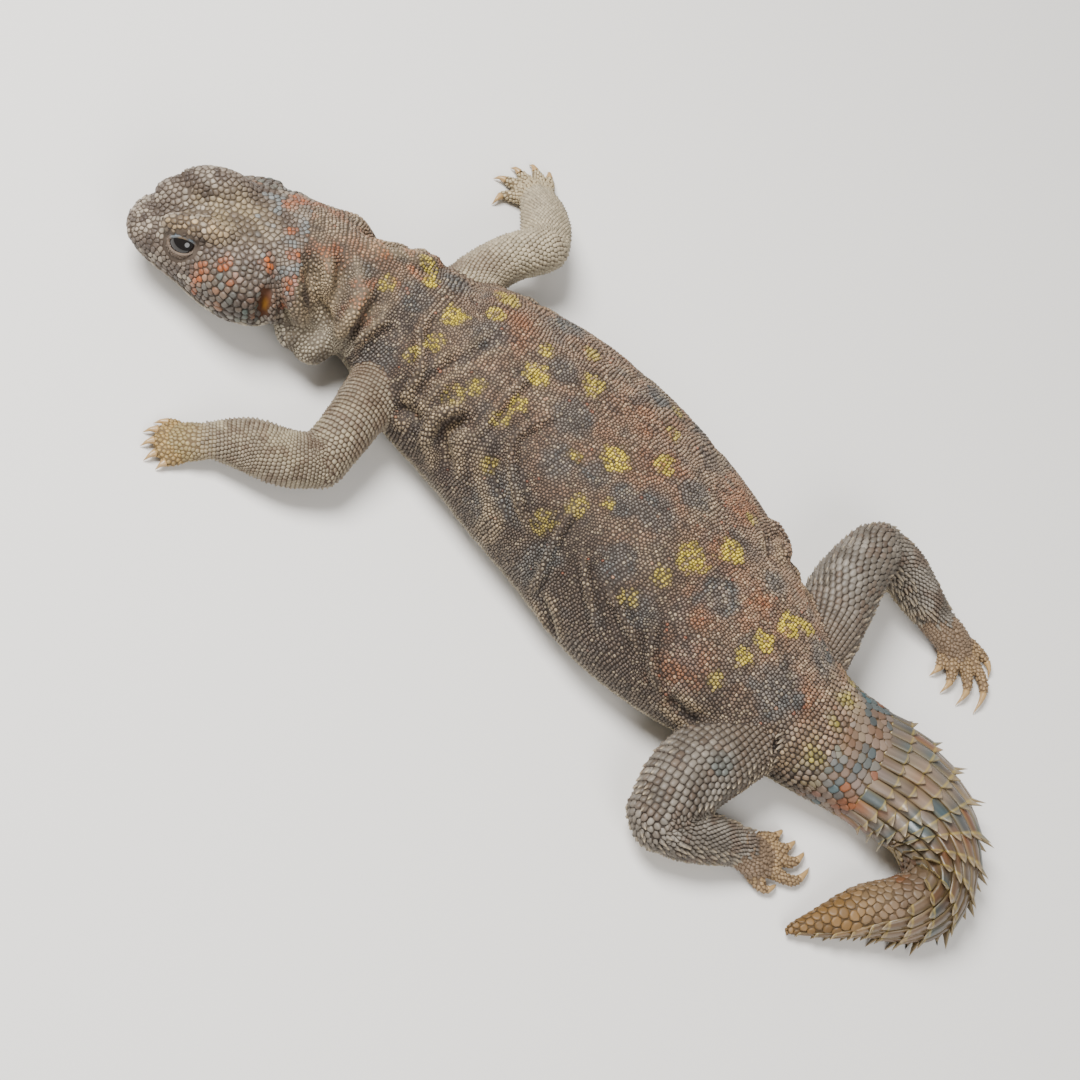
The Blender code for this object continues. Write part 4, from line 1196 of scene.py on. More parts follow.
def body_marking(points, kinds, places, normals):
    """Taupe with rust and slate patches and yellow spots, with painted shade down the left flank and the
    lower sides, and pale below.
    """
    rise = normals[:, 2]
    mottle = mottled(points)
    chance = by_granule(points, 0.5, 28)
    edge = ragged(points)
    back = np.clip((rise - 0.1) / 0.5, 0, 1)
    on_back = np.clip((rise - 0.05) / 0.2, 0, 1)
    left = np.clip((points[:, 1] - 4.0) / 12.0, 0, 1)
    tone = blend(linear("#7c6551"), "#84745f", (cloud(points, 7.0, 21) - 0.4) * 1.6)
    # Painted shade down the left flank.
    tone = blend(tone, "#40362d", left * 0.88)
    tone = blend(tone, "#55483b", 0.35 * bell(points[:, 0], 48.0, 9.0))
    rust = np.clip(1.5 - nearest_patch(points, RUST_PATCHES) * edge, 0, 1)
    rust += 1.4 * (cloud(points, 3.4, 22) - 0.52) * (1 - left)
    tone = blend(tone, "#895533", rust * 0.55 * back)
    slate = np.clip(1.25 - nearest_patch(points, SLATE_PATCHES) * edge, 0, 0.5) * 1.9
    slate += dapples(points, 3.0, 25, 0.6, 2.6, 0.6)
    tone = blend(tone, "#55534f", slate * (0.55 + 0.5 * mottle))
    tone = blend(tone, "#4d4138", np.clip((mottle - 0.55) * 2.6, 0, 0.55))
    tone = blend(tone, "#8a4526", (chance > 0.985) * (cloud(points, 1.1, 23) > 0.5) * 0.5 * back)
    tone = blend(tone, "#b3a283", (by_granule(points, 0.55, 24) > 0.86) * 0.22)
    # Painted shade where the sides turn down towards the belly; below that the belly is pale.
    tone = blend(tone, "#5b5044", (0.35 - rise) * 2.0)
    tone = blend(tone, "#978b73", (-0.15 - rise) * 3.0)

    # Each yellow spot has a dark ring, and is a net of yellow granules among brown ones.
    spot = nearest_patch(points, YELLOW_SPOTS) * edge
    tone = blend(tone, "#4b3a2c", bell(spot, 1.3, 0.25) * 0.4 * on_back)
    net = np.where(by_granule(points, 0.6, 37) > 0.36, 1.0, 0.12)
    yellow = np.clip((1.18 - spot) * 2.4, 0, 0.85) * net * on_back
    bright = np.clip(1.15 - np.abs(points[:, 1] + 2.0) / 13.0, 0.05, 1)
    tone = blend(tone, "#94823a", yellow)
    tone = blend(tone, "#ccb32a", yellow * bright)

    # Painted highlight along the raised folds of the skin and painted shade in its creases, on the scales
    # and darker still in the gaps between them.
    fold_painted_light = painted_fold_light(points)
    tone = blend(tone, "#a8916f", fold_painted_light * 0.6)
    tone = blend(tone, "#2b221b", -fold_painted_light * 0.7)
    gap = blend(linear("#2b211b"), "#1a130f", -fold_painted_light)

    # The nape is stained with rust, and the throat beside it is pale with dark streaks.
    nape = (kinds == "neck") | (points[:, 0] > 52)
    stain = dapples(points, 2.3, 29, 0.52, 5, 1) * np.clip((rise - 0.3) * 2, 0, 1)
    stain *= np.clip((points[:, 2] - 17.0) / 3.0, 0, 1)
    under = np.clip((16.5 - points[:, 2]) / 4.0, 0, 1) * np.clip((points[:, 1] - 7.0) / 4.0, 0, 1)
    under = np.maximum(under, np.clip((0.25 - rise) * 2, 0, 1) * (points[:, 2] < 14))
    streak = dapples(points * (1.0, 1.0, 0.4), 1.9, 30, 0.55, 5, 0.7)
    tone = blend(tone, "#935128", stain * 0.6 * nape)
    tone = blend(tone, "#968b77", under * 0.85 * nape)
    tone = blend(tone, "#4a4138", streak * np.clip(under + 0.3, 0, 1) * nape)
    # The gaps of the nape are paler, more so under the throat, with painted highlight along its folds and
    # painted shade in its creases.
    return tone, blend(gap, "#5e5344", (0.25 + 0.7 * under + fold_painted_light) * nape)


# Painted shadow cast by the overhanging brow over the top of each eye.
def brow_painted_shadow(eye_angle, eye_height):
    return bell(eye_angle, 0.98, 0.12) * (eye_height > 0.3) * 0.75


def head_marking(points, kinds, places, normals):
    """Grey-brown with a pale crown and snout, and orange, slate and dark granules on the cheeks."""
    local = into_head(points)
    forward, side, height = local.T
    out = np.abs(side)
    tone = blend(linear("#6c5f53"), "#837767", patchy(points))
    tone = blend(tone, "#4b3f37", dapples(points, 2.1, 31, 0.5, 3.6, 0.8))
    crown = np.clip(1.25 - np.linalg.norm((local - (14, 0, 7)) / (9, 6, 4), axis=1), 0, 1)
    tone = blend(tone, "#897858", crown * (0.3 + 0.8 * cloud(points, 1.1, 23)))
    tone = blend(tone, "#453a32", dapples(points, 3.2, 39, 0.5, 4, 0.6) * (height > 3))
    tone = blend(tone, "#6a6d6b", (cloud(points, 1.8, 32) - 0.5) * 3 * (forward < 9))
    from_cheek = (np.c_[forward, out, height] - (9.5, 13.0, 0.5)) / (6, 4, 6)
    cheek = np.clip(1.5 - np.linalg.norm(from_cheek, axis=1), 0, 1)
    tone = blend(tone, "#594d41", cheek)
    for colour, size, seed, above, gain, most in (
        ("#8a5a39", 1.9, 33, 0.57, 6, 0.7), ("#435651", 1.7, 34, 0.58, 7, 0.75),
        ("#82857f", 1.4, 36, 0.64, 7, 0.5), ("#3d342e", 2.4, 38, 0.53, 5, 0.7),
    ):
        tone = blend(tone, colour, dapples(points, size, seed, above, gain, most) * cheek)
    # A pale tan ridge along the brow over the left eye: its own colour, with a painted highlight along its
    # top.
    ridge = bell(out, 5.2, 1.3) * np.clip((height - 5.5) / 1.5, 0, 1)
    tone = blend(tone, "#a58c66", ridge * np.clip((forward - 12) / 3, 0, 1) * (side > 0) * 0.8)
    tone = blend(tone, "#463b33", dapples(points, 1.6, 40, 0.5, 6, 0.7) * (forward > 17))
    tone = blend(tone, "#978b7b", dapples(points, 1.5, 43, 0.56, 6, 0.7) * (forward > 17))
    tone = blend(tone, "#998f7c", np.clip((-3.5 - height) / 2.0, 0, 1))
    tone = blend(tone, "#3f3731", dapples(points, 1.6, 35, 0.54, 6, 0.85) * (height < -1))
    fleck = np.clip(1.4 - nearest_patch(local, HEAD_FLECKS) * ragged(points), 0, 0.72)
    tone = blend(tone, "#8f4a20", fleck * (height > -3) * (0.4 + by_granule(points, 0.5, 28)))
    eye_angle, eye_height = eye_place(points)
    tone = blend(tone, "#4a3b30", bell(eye_angle, 1.25, 0.18) * 0.35)
    # Painted shadow under the overhanging brow.
    tone = blend(tone, "#33271f", brow_painted_shadow(eye_angle, eye_height))
    return tone, blend(linear("#40352d"), "#54483b", crown + 0.3 * (1 - cheek))


def lid_marking(points, kinds, places, normals):
    """Brown lids with a blue-grey band over the eye and a pale rim."""
    eye_angle, eye_height = eye_place(points)
    tone = blend(linear("#66574a"), "#4f4339", (mottled(points) - 0.4) * 1.6)
    band = bell(eye_angle, 0.66, 0.19) * np.clip(eye_height * 4 - 0.4, 0, 1)
    tone = blend(tone, "#667077", band * 0.9)
    tone = blend(tone, "#8c7250", bell(eye_angle, 0.44, 0.05) * 0.6)
    tone = blend(tone, "#3a2d24", np.clip((eye_angle - 0.85) * 2.4, 0, 0.7))
    # Painted shadow under the overhanging brow.
    tone = blend(tone, "#33271f", brow_painted_shadow(eye_angle, eye_height))
    return tone, tone * 0.55


def near_body(places):
    return np.clip(1.5 - places[:, 0] / 12.0, 0, 1)


def arm_marking(points, kinds, places, normals):
    """Pale tan, with painted light making the right arm paler, with brown joins, and browner towards the
    body.
    """
    tone = blend(linear("#7c705e"), "#94886f", patchy(points))
    tone = blend(tone, "#655545", dapples(points, 1.3, 41, 0.55, 4, 0.7))
    # Painted light on the right arm.
    tone = blend(tone, "#ac9f84", (points[:, 1] < 0) * 0.55)
    brown = np.clip((cloud(points, 3.4, 22) - 0.2) * 2, 0, 1)
    tone = blend(tone, "#6a5a49", near_body(places) * (kinds == "arm") * brown)
    return tone, linear("#3f2c20")


def hand_marking(points, kinds, places, normals):
    """Ochre, with painted light making the right hand paler, and a greyer wrist."""
    on_left = points[:, 1] > 0
    tone = blend(linear("#86744c"), "#94733f", (kinds == "finger") * 0.5 * on_left)
    # Painted light on the right hand.
    tone = blend(tone, "#b0a183", (points[:, 1] < 0) * 0.7)
    wrist = np.clip(1.2 - places[:, 0] / 4.0, 0, 1) * (kinds == "hand") * on_left
    return blend(tone, "#857861", wrist), linear("#5d4a31")


def leg_marking(points, kinds, places, normals):
    """Grey plates with dark joins, pale beneath, and a touch of teal on the left thigh."""
    tone = blend(linear("#5d554b"), "#7d756a", patchy(points))
    tone = blend(tone, "#564639", dapples(points, 1.6, 42, 0.55, 4, 0.7))
    tone = blend(tone, "#a3957c", (-0.2 - normals[:, 2]) * 3)
    from_teal = np.linalg.norm(points[:, :2] - TEAL_ON_THIGH, axis=1)
    tone = blend(tone, "#3f6266", np.clip(1.2 - from_teal / 2.4, 0, 0.4) * (mottled(points) + 0.2))
    return blend(tone, "#66584a", near_body(places) * (kinds == "thigh") * 0.8), linear("#30261f")


def foot_marking(points, kinds, places, normals):
    return blend(linear("#77634f"), "#94784f", (kinds == "toe") * 0.6), linear("#68543f")


def tail_marking(points, kinds, places, normals):
    """Tan with grey, brown, teal and orange patches, darker round the bend and ochre at the tip."""
    along = np.clip((places[:, 0] - torso_end) / (trunk.length - torso_end), 0, 1)
    tone = blend(linear("#6f5e50"), "#80705c", patchy(points))
    for colour, size, seed, above, gain, most, until in (
        ("#66625f", 3.2, 53, 0.52, 3, 0.6, 0.6), ("#694a35", 3.0, 55, 0.5, 4, 0.7, 0.7),
        ("#35494d", 2.6, 51, 0.56, 6, 0.75, 0.5), ("#874517", 2.2, 52, 0.65, 6, 0.6, 0.7),
    ):
        tone = blend(tone, colour, dapples(points, size, seed, above, gain, most) * (along < until))
    tone = blend(tone, "#4b3925", np.clip(1 - np.abs(along - 0.58) / 0.2, 0, 0.75))
    tone = blend(tone, "#684b20", np.clip((along - 0.66) * 5, 0, 0.92))
    beneath = np.clip(-np.sin(places[:, 1]) * 2.0 - 0.4, 0, 1) * (along < 0.5)
    return blend(tone, "#9c8a63", beneath), linear("#524029")


MARKINGS = (
    (("neck", "torso"), body_marking), (("head",), head_marking), (("lid",), lid_marking),
    (("arm", "forearm"), arm_marking), (("hand", "finger"), hand_marking),
    (("thigh", "shin"), leg_marking), (("foot", "toe"), foot_marking), (("tail",), tail_marking),
)


def marking(points, kinds, places, normals):
    """The colour of the animal at these points, and the dark of the gaps between its scales."""
    colour = np.empty((len(points), 3))
    gap = np.empty((len(points), 3))
    for kinds_here, part_marking in MARKINGS:
        here = np.isin(kinds, kinds_here)
        if here.any():
            colour[here], gap[here] = part_marking(points[here], kinds[here], places[here], normals[here])

    # Where the body becomes the tail there is a belt of yellow granules, and then one of teal.
    behind = places[:, 0] - torso_end
    belt = (kinds == "tail") | ((kinds == "torso") & (points[:, 0] < -52))
    belt &= np.abs(behind - 1.0) < 8.0
    chance = by_granule(points, 0.5, 28)
    warm = bell(behind, -2.4, 2.4) * np.clip(normals[:, 2] * 2, 0, 1)
    warm *= dapples(points, 2.2, 54, 0.3, 2.2, 1) * (0.4 + 0.6 * (chance > 0.35))
    cool = bell(behind, 3.4, 2.2) * np.clip((mottled(points) - 0.3) * 2.5, 0, 1)
    cool *= np.clip((np.abs(points[:, 1] + 4.0) - 4.0) / 3.0, 0, 1)
    colour = blend(colour, "#94873c", warm * 0.85 * belt)
    colour = blend(colour, "#33535a", cool * 0.75 * (chance > 0.3) * belt)
    grain = by_granule(points, 0.55, 24)
    shade = np.where(kinds == "lid", 0.95 + 0.1 * grain, 0.84 + 0.3 * grain)
    return np.clip(colour * shade[:, None], 0, 1), gap


def paint(mesh, colours):
    """Keeps one linear colour for each point of a mesh."""
    layer = mesh.color_attributes.new("tint", "FLOAT_COLOR", "POINT")
    layer.data.foreach_set("color", np.c_[colours, np.ones(len(colours))].ravel())


def tinted(name, roughness, specular, bump_size, bump_strength):
    """A finish whose colour is kept on the mesh, with a fine grain."""
    material, shader = new_material(name, roughness, specular)
    tint = add_node(material, "ShaderNodeAttribute", attribute_name="tint")
    place = add_node(material, "ShaderNodeTexCoord")
    grain = add_node(
        material, "ShaderNodeTexNoise",
        {"Vector": place.outputs["Object"], "Scale": 1 / (bump_size * MILLIMETRE), "Detail": 3.0},
    )
    bump = add_node(
        material, "ShaderNodeBump",
        {"Height": grain.outputs["Fac"], "Strength": bump_strength, "Distance": 0.1 * MILLIMETRE},
    )
    material.node_tree.links.new(tint.outputs["Color"], shader.inputs["Base Color"])
    material.node_tree.links.new(bump.outputs["Normal"], shader.inputs["Normal"])
    return material


skin_colour, skin_gap = marking(skin_points, skin_kind, guide_places[skin_guide], skin_normals)
skin_tint = np.where(is_lid[:, None], skin_colour, skin_gap * 0.75 + skin_colour * 0.12)
in_ear = np.clip(1.2 - ear_share(skin_points), 0, 1) * 4 * (skin_kind == "head")
skin_tint = blend(skin_tint, "#4a2a16", in_ear)
amber = in_ear * np.clip(0.6 - into_head(skin_points)[:, 2] / 3.0, 0, 1)
amber *= np.clip(1.6 - 2 * ear_share(skin_points), 0, 1)
skin_tint = blend(skin_tint, "#96661f", amber)
paint(skin.data, skin_tint)

# The finished skin is thinned to what one piece may hold. Its flattest stretches lose the most.
SKIN_TRIANGLES = 196000
thinner = skin.modifiers.new("thinner skin", "DECIMATE")
thinner.ratio = SKIN_TRIANGLES / sum(len(face.vertices) - 2 for face in skin.data.polygons)
settle(skin)
skin.data.materials.clear()
skin.data.materials.append(tinted("dry leathery skin", 0.7, 0.3, 0.4, 0.4))
FLESH = [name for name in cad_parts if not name.startswith("eye")]
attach(skin, "root")
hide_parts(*FLESH)

# Scales.
# Dry horny scales, each cut to fit its neighbours, with a sunk edge and a domed top that tilts up
# towards its rear edge. They are made as arrays, many to a piece.
NEIGHBOURS = 11
LIMITS = {"tail": 1.1, "head": 0.9}  # how far a scale may reach, in spacings
OTHER_LIMIT = 0.7
root_tree = tree_of(roots)


def across_skin(index):
    """The skin's normal at these roots, and the directions along it to the rear and to the side."""
    normal = root_normal[index]
    back = guide_forward[root_guide[index]]
    back = unit(back - normal * np.sum(back * normal, axis=1, keepdims=True))
    return normal, back, np.cross(normal, back)


def fitted(index, directions, turn):
    """How far each scale reaches in each direction before it meets a neighbour."""
    near = np.array([[found[1] for found in root_tree.find_n(roots[n], NEIGHBOURS + 1)][1:] for n in index])
    normal, back, side = across_skin(index)
    offset = roots[near] - roots[index][:, None]
    facing = np.sum(root_normal[near] * normal[:, None], axis=2)
    a = np.sum(offset * back[:, None], axis=2)
    b = np.sum(offset * side[:, None], axis=2)
    square = a * a + b * b
    reach = np.empty((len(index), directions))
    limit = root_spacing[index] * np.array([LIMITS.get(kind, OTHER_LIMIT) for kind in root_kind[index]])
    for number in range(directions):
        angle = math.tau * (number + turn) / directions
        along = a * math.cos(angle) + b * math.sin(angle)
        gaps = np.where((along > 1e-4) & (facing > 0.0), square / 2 / np.maximum(along, 1e-4), FAR_OFF)
        reach[:, number] = np.minimum(gaps.min(axis=1), limit)
    return reach, normal, back, side


MARGIN = 0.01


def unwrapped(index):
    """Where each root lies on the skin, laid flat from 0 to 1 along and round its tube."""
    distance = root_place[index, 0]
    low, high = distance.min(), distance.max()
    region = guide_names[root_guide[index]]
    tiles = np.unique(region)
    tile = np.searchsorted(tiles, region)
    along = (distance - low) / max(high - low, 1e-6) * (1 - 2 * MARGIN) + MARGIN
    around = (root_place[index, 1] % math.tau) / math.tau * (1 - 2 * MARGIN) + MARGIN
    return np.c_[along, (tile + around) / len(tiles)]


PATCH = 0.003


def even_shares(rings):
    return [0.3 + 0.7 * number / rings for number in range(rings)]


def ringed_mesh(name, points, colours, homes, shares, both_ends):
    """One mesh of many small shapes, each a stack of rings closed at the top, or at both ends.

    shares says how wide each ring lies in the shape's patch on the unwrapped skin.
    """
    count = len(homes)
    rings = len(shares)
    sides = len(points) // (count * rings)
    ring_of = np.arange(sides)
    next_of = (ring_of + 1) % sides
    quads = np.concatenate([
        np.stack([low + ring_of, low + next_of, low + sides + next_of, low + sides + ring_of], axis=1)
        for low in range(0, (rings - 1) * sides, sides)
    ])
    first = (np.arange(count) * rings * sides)[:, None]
    faces = (first[:, :, None] + quads[None]).reshape(-1, 4)
    caps = [first + (rings - 1) * sides + ring_of]
    if both_ends:
        caps.insert(0, first + ring_of[::-1])
    corner_count = np.r_[np.full(len(faces), 4), np.full(count * len(caps), sides)]
    corners = np.concatenate([faces.ravel(), *(cap.ravel() for cap in caps)])
    mesh = bpy.data.meshes.new(name)
    mesh.vertices.add(len(points))
    mesh.vertices.foreach_set("co", (points * MILLIMETRE).ravel())
    mesh.loops.add(len(corners))
    mesh.loops.foreach_set("vertex_index", corners)
    mesh.polygons.add(len(corner_count))
    mesh.polygons.foreach_set("loop_start", np.r_[0, np.cumsum(corner_count)[:-1]])
    mesh.update(calc_edges=True)
    mesh.validate()
    if both_ends:
        shape = bmesh.new()
        shape.from_mesh(mesh)
        bmesh.ops.recalc_face_normals(shape, faces=shape.faces)
        shape.to_mesh(mesh)
        shape.free()
    mesh.shade_smooth()
    paint(mesh, np.clip(colours, 0, 1))

    # Each shape is laid flat as a small patch at its root's place on the unwrapped skin.
    angle = math.tau * ring_of / sides
    shares = np.array(shares)[:, None]
    flat = np.stack([shares * np.cos(angle), shares * np.sin(angle)], axis=2).reshape(-1, 2)
    flat = np.tile(flat, (count, 1)) * PATCH / 2 + np.repeat(homes, rings * sides, axis=0)
    corners = np.empty(len(mesh.loops), int)
    mesh.loops.foreach_get("vertex_index", corners)
    layer = mesh.uv_layers.new(name="OFBake")
    layer.data.foreach_set("uv", np.clip(flat, 0, 1)[corners].ravel())
    return mesh


def placed_in_scene(name, mesh, material):
    mesh.materials.append(material)
    thing = bpy.data.objects.new(name, mesh)
    bpy.context.scene.collection.objects.link(thing)
    return thing


# How a kind of scale is cut: rings gives each ring's share of the reach and of the height, peak tilts
# the top up towards the rear edge, point draws that edge out, keel raises the line to it, fill is the
# share of its place that a scale takes along and across the body, and variety how much the tones differ.
Cut = namedtuple("Cut", "directions rings peak turn point keel fill variety")
LOWEST = 0.03
SCALE_OVER_SKIN = 0.4


def scale_piece(name, here, heights, cut, material):
    """One mesh of many scales of one cut, at the roots that here picks out."""
    index = np.arange(len(roots))[here]
    directions, rings, peak, turn, point, keel, fill, variety = cut
    reach, normal, back, side = fitted(index, directions, turn)
    count = len(index)
    angle = math.tau * (np.arange(directions) + turn) / directions
    reach = reach * (1 + point * np.clip(np.cos(angle), 0, 1) ** 4)
    ridge = 1 + keel * np.clip(np.cos(angle), 0, 1) ** 8
    colour, gap = marking(roots[index], root_kind[index], root_place[index], normal)
    tone = 1.02 + variety * (random.random(count)[:, None] - 0.5)
    heights = heights * random.uniform(0.82, 1.22, count)
    points = np.empty((count, len(rings), directions, 3))
    colours = np.empty((count, len(rings), directions, 3))
    for number, (share, height) in enumerate(rings):
        a = reach * fill[0] * share * np.cos(angle)
        b = reach * fill[1] * share * np.sin(angle)
        rise = heights[:, None] * height * (1 + peak * a / np.maximum(root_spacing[index, None] * 0.5, 0.1))
        rise = np.where(height > 0, rise * ridge, rise)
        points[:, number] = (
            roots[index][:, None] + back[:, None] * a[..., None] + side[:, None] * b[..., None]
            + normal[:, None] * rise[..., None]
        )
        light = np.clip(height * 1.5, 0, 1)
        colours[:, number] = (gap * 0.8 * (1 - light) + colour * tone * light)[:, None]
    points = points.reshape(-1, 3)
    points[:, 2] = np.clip(points[:, 2], LOWEST, HIGHEST_SKIN + SCALE_OVER_SKIN)
    shares = [share for share, _ in rings]
    mesh = ringed_mesh(name, points, colours.reshape(-1, 3), unwrapped(index), shares, False)
    piece = placed_in_scene(name, mesh, material)
    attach(piece, "root")


horny = tinted("dry horny scales", 0.5, 0.42, 0.3, 0.25)
GRANULE = ((1.0, -0.5), (0.66, 1.0))
SMALL = ((1.0, -0.45), (0.88, 0.6), (0.45, 1.0))
PLATE = ((1.0, -0.4), (0.94, 0.45), (0.72, 0.88), (0.34, 1.0))
FLAT = ((1.0, -0.3), (0.97, 0.62), (0.8, 0.95), (0.4, 1.0))
shown = ~bare & ~scuted
on_head = shown & (root_kind == "head")
head_height = 0.24 + 0.26 * np.maximum(root_spacing - 0.8, -0.1)
high_up = into_head(roots)[:, 2] > 3.0
head_cut = Cut(8, PLATE, 0.1, 0.3, 0.0, 0.0, (0.95, 0.95), 0.42)
for name, here in (("crown", on_head & high_up), ("cheeks", on_head & ~high_up)):
    scale_piece(f"scales_{name}", here, head_height[here], head_cut, horny)
eye_angle, eye_height = eye_place(roots)
on_lids = shown & (root_kind == "lid") & (eye_angle > np.where(eye_height > 0, 0.9, 0.62))
lid_cut = Cut(6, GRANULE, 0.0, 0.5, 0.0, 0.0, (0.9, 0.9), 0.3)
scale_piece("scales_eyelids", on_lids, 0.11, lid_cut, horny)
neck_cut = Cut(6, GRANULE, 0.1, 0.5, 0.0, 0.0, (0.93, 0.93), 0.6)
scale_piece("scales_neck", shown & (root_kind == "neck"), 0.2, neck_cut, horny)
torso_roots = np.flatnonzero(shown & (root_kind == "torso"))
torso_roots = torso_roots[np.argsort(root_place[torso_roots, 0], kind="stable")]
TORSO_PIECES = ("shoulders", "fore_back", "mid_body", "rear_body", "hips")
for name, here in zip(TORSO_PIECES, np.array_split(torso_roots, len(TORSO_PIECES))):
    height = 0.2 + 0.18 * (root_spacing[here] - SPACING["torso"])
    cut = Cut(6, SMALL if name == "hips" else GRANULE, 0.2, 0.0, 0.1, 0.1, (0.91, 0.93), 0.9)
    scale_piece(f"scales_{name}", here, height, cut, horny)
for name, kinds, slot, height, point, fill in (
    ("arms", ("arm", "forearm"), "limb_skin", 0.26, 0.3, (0.85, 1.02)),
    ("hands", ("hand", "finger"), "paw_skin", 0.16, 0.1, (0.95, 0.95)),
    ("legs", ("thigh", "shin"), "limb_skin", 0.34, 0.45, (0.91, 0.95)),
    ("feet", ("foot", "toe"), "paw_skin", 0.17, 0.15, (0.95, 0.95)),
):
    cut = Cut(8, SMALL, 0.5, 0.0, point, 0.45, fill, 0.3)
    scale_piece(f"scales_{name}", shown & np.isin(root_kind, kinds), height, cut, horny)
under_tail = shown & (root_kind == "tail")
tail_height = 0.16 + 0.04 * root_spacing[under_tail]
tail_cut = Cut(8, FLAT, 0.7, 0.5, 0.1, 0.2, (0.98, 0.99), 0.2)
scale_piece("scales_of_tail", under_tail, tail_height, tail_cut, horny)

# Leg spines.
# Small horn cones along the hind edge of the thighs and shins and at the knees, each leaning back
# towards the foot, as the photo shows in outline.
LEG_SPINE_SHARE = 0.42
LEG_SPINE_LENGTHS = (0.9, 1.5)
LEG_SPINE_RADIUS = 0.46
LEG_SPINE_RISE = 0.62  # how much it stands up, for each length that it leans back
LEG_SPINE_SIDES = 7
LEG_SPINE_RINGS = ((1.0, -0.2), (0.72, 0.35), (0.34, 0.78), (0.05, 1.0))
PALE_SHARES = np.array((0.0, 0.1, 0.5, 0.9))  # how far each ring has paled to the colour of the point
hind = np.isin(root_kind, ["thigh", "shin"]) & (root_normal[:, 2] < 0.75) & (root_normal[:, 2] > -0.25)
outer = (np.abs(roots[:, 1]) > 22) | (roots[:, 0] < -50)
spined = np.flatnonzero(hind & outer & (random.random(len(roots)) < LEG_SPINE_SHARE))
base_colour, _ = marking(roots[spined], root_kind[spined], root_place[spined], root_normal[spined])
turns = (math.tau * np.arange(LEG_SPINE_SIDES) / LEG_SPINE_SIDES)[:, None]
paled = np.repeat(PALE_SHARES, LEG_SPINE_SIDES)[:, None]
spine_points = []
spine_colours = []
for index, normal, back, colour in zip(spined, *across_skin(spined)[:2], base_colour):
    length = random.uniform(*LEG_SPINE_LENGTHS)
    axis = unit(normal * LEG_SPINE_RISE + back)
    side = unit(np.cross(axis, (0.3, 0.2, 1.0)))
    circle = np.cos(turns) * side + np.sin(turns) * np.cross(axis, side)
    root = roots[index] + normal * 0.12
    spine_points += [
        root + axis * length * height + LEG_SPINE_RADIUS * share * circle
        for share, height in LEG_SPINE_RINGS
    ]
    spine_colours.append(colour * 0.9 * (1 - paled) + linear("#b3a184") * paled)
spine_points = np.concatenate(spine_points)
spine_points[:, 2] = np.maximum(spine_points[:, 2], 0.05)
leg_spines = placed_in_scene("spines_legs", ringed_mesh(
    "spines_legs", spine_points, np.concatenate(spine_colours), unwrapped(spined),
    even_shares(len(LEG_SPINE_RINGS)), True,
), horny)
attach(leg_spines, "root")

# Tail scutes.
# Broad flat scutes of glossy horn in whorls over the back and sides of the tail. Each is a slightly
# keeled plate that rises to its rear edge and ends in a short sharp spine, longest along the sides.
SCUTE_WIDTH = 3.2
NARROWEST_SCUTE = 1.6
SCUTE_FILL = 0.965
WHORL_RISE = 0.85
SPINE_ON_BACK = 1.7
SPINE_ON_SIDE = 4.6
SPINE_LEAN = 32.0
SIDE_LEAN = 26.0  # how much more the spines of the sides stand out
BEND_LEAN = 35.0  # and how much more those on the inside of a bend do
SMALL_WHORLS = 3
HINDMOST = -104.8  # no spine reaches further back than this
SCUTE_ACROSS = np.array((-1.0, -0.88, -0.4, 0.0, 0.4, 0.88, 1.0, 0.0))
SCUTE_HEIGHT = np.array((0.0, 0.62, 0.80, 1.0, 0.80, 0.62, 0.0, -0.5))
SCUTE_STEPS = np.array((0.0, 0.08, 0.5, 0.92, 1.0, 1.3, 1.65, 2.0))  # up to 1 the plate, then the spine
SCUTE_SPREAD = np.array((0.96, 1.0, 1.0, 1.0, 0.9, 0.9, 0.9, 0.9))
PLATE_END = 4
KEEL = 3
UNDERSIDE = 7
SPINE_TAPER = ((0.0, 0.3, 0.65, 1.0), (1.0, 0.7, 0.4, 0.04))
plate = np.minimum(SCUTE_STEPS, 1.0)


def scute_points(front, rear, angle, size, side_share, length):
    """Points of a scute at these angles, and where on the tail they stand."""
    distance = np.broadcast_to((front + (rear - front) * (plate * 1.03 - 0.03))[:, None], angle.shape)
    surface = trunk_points(distance.ravel(), angle.ravel()).reshape(*angle.shape, 3)
    centre = trunk.at(distance.ravel())[:, :3].reshape(surface.shape)
    outward = unit(surface - centre)
    at_keel = outward[PLATE_END, KEEL]
    ways = trunk.frames(np.array([rear - 0.5, rear, rear + 0.5]))[0]

    # On the inside of a bend the next whorl is nearer, so a spine there is shorter and stands up more.
    reach = np.linalg.norm(surface[PLATE_END, KEEL] - centre[PLATE_END, KEEL])
    squeeze = max(0.25, 1.0 - max(0.0, float((ways[2] - ways[0]) @ at_keel)) * reach)
    length = min(length, 0.6 + (rear - front) * squeeze)
    tilt = SPINE_LEAN + SIDE_LEAN * side_share + random.uniform(-6, 6) + BEND_LEAN * (1 - squeeze)

    climb = 0.16 + (WHORL_RISE * size - 0.08) * plate[:, None] ** 1.2
    lift = climb * np.clip(SCUTE_HEIGHT + 0.22, -0.4, 1.2)
    lift = lift + 0.3 * plate[:, None] * np.clip(SCUTE_HEIGHT - 0.8, 0, 1)
    lift[0] = 0.02
    lift[:, SCUTE_HEIGHT <= 0] = -0.25
    points = surface + outward * lift[..., None]
    base = points[PLATE_END]
    heart = (base[0] + base[6] + base[UNDERSIDE] + base[KEEL]) / 4 + at_keel * 0.1
    away = ways[1] * math.cos(math.radians(tilt)) + at_keel * math.sin(math.radians(tilt))
    length = min(length, (heart[0] - HINDMOST) / max(-away[0], 1e-6))
    for number in range(PLATE_END + 1, len(SCUTE_STEPS)):
        share = SCUTE_STEPS[number] - 1.0
        points[number] = heart + (base - heart) * np.interp(share, *SPINE_TAPER) + away * length * share
    points[..., 2] = np.maximum(points[..., 2], 0.05)
    return points.reshape(-1, 3), surface, distance, outward


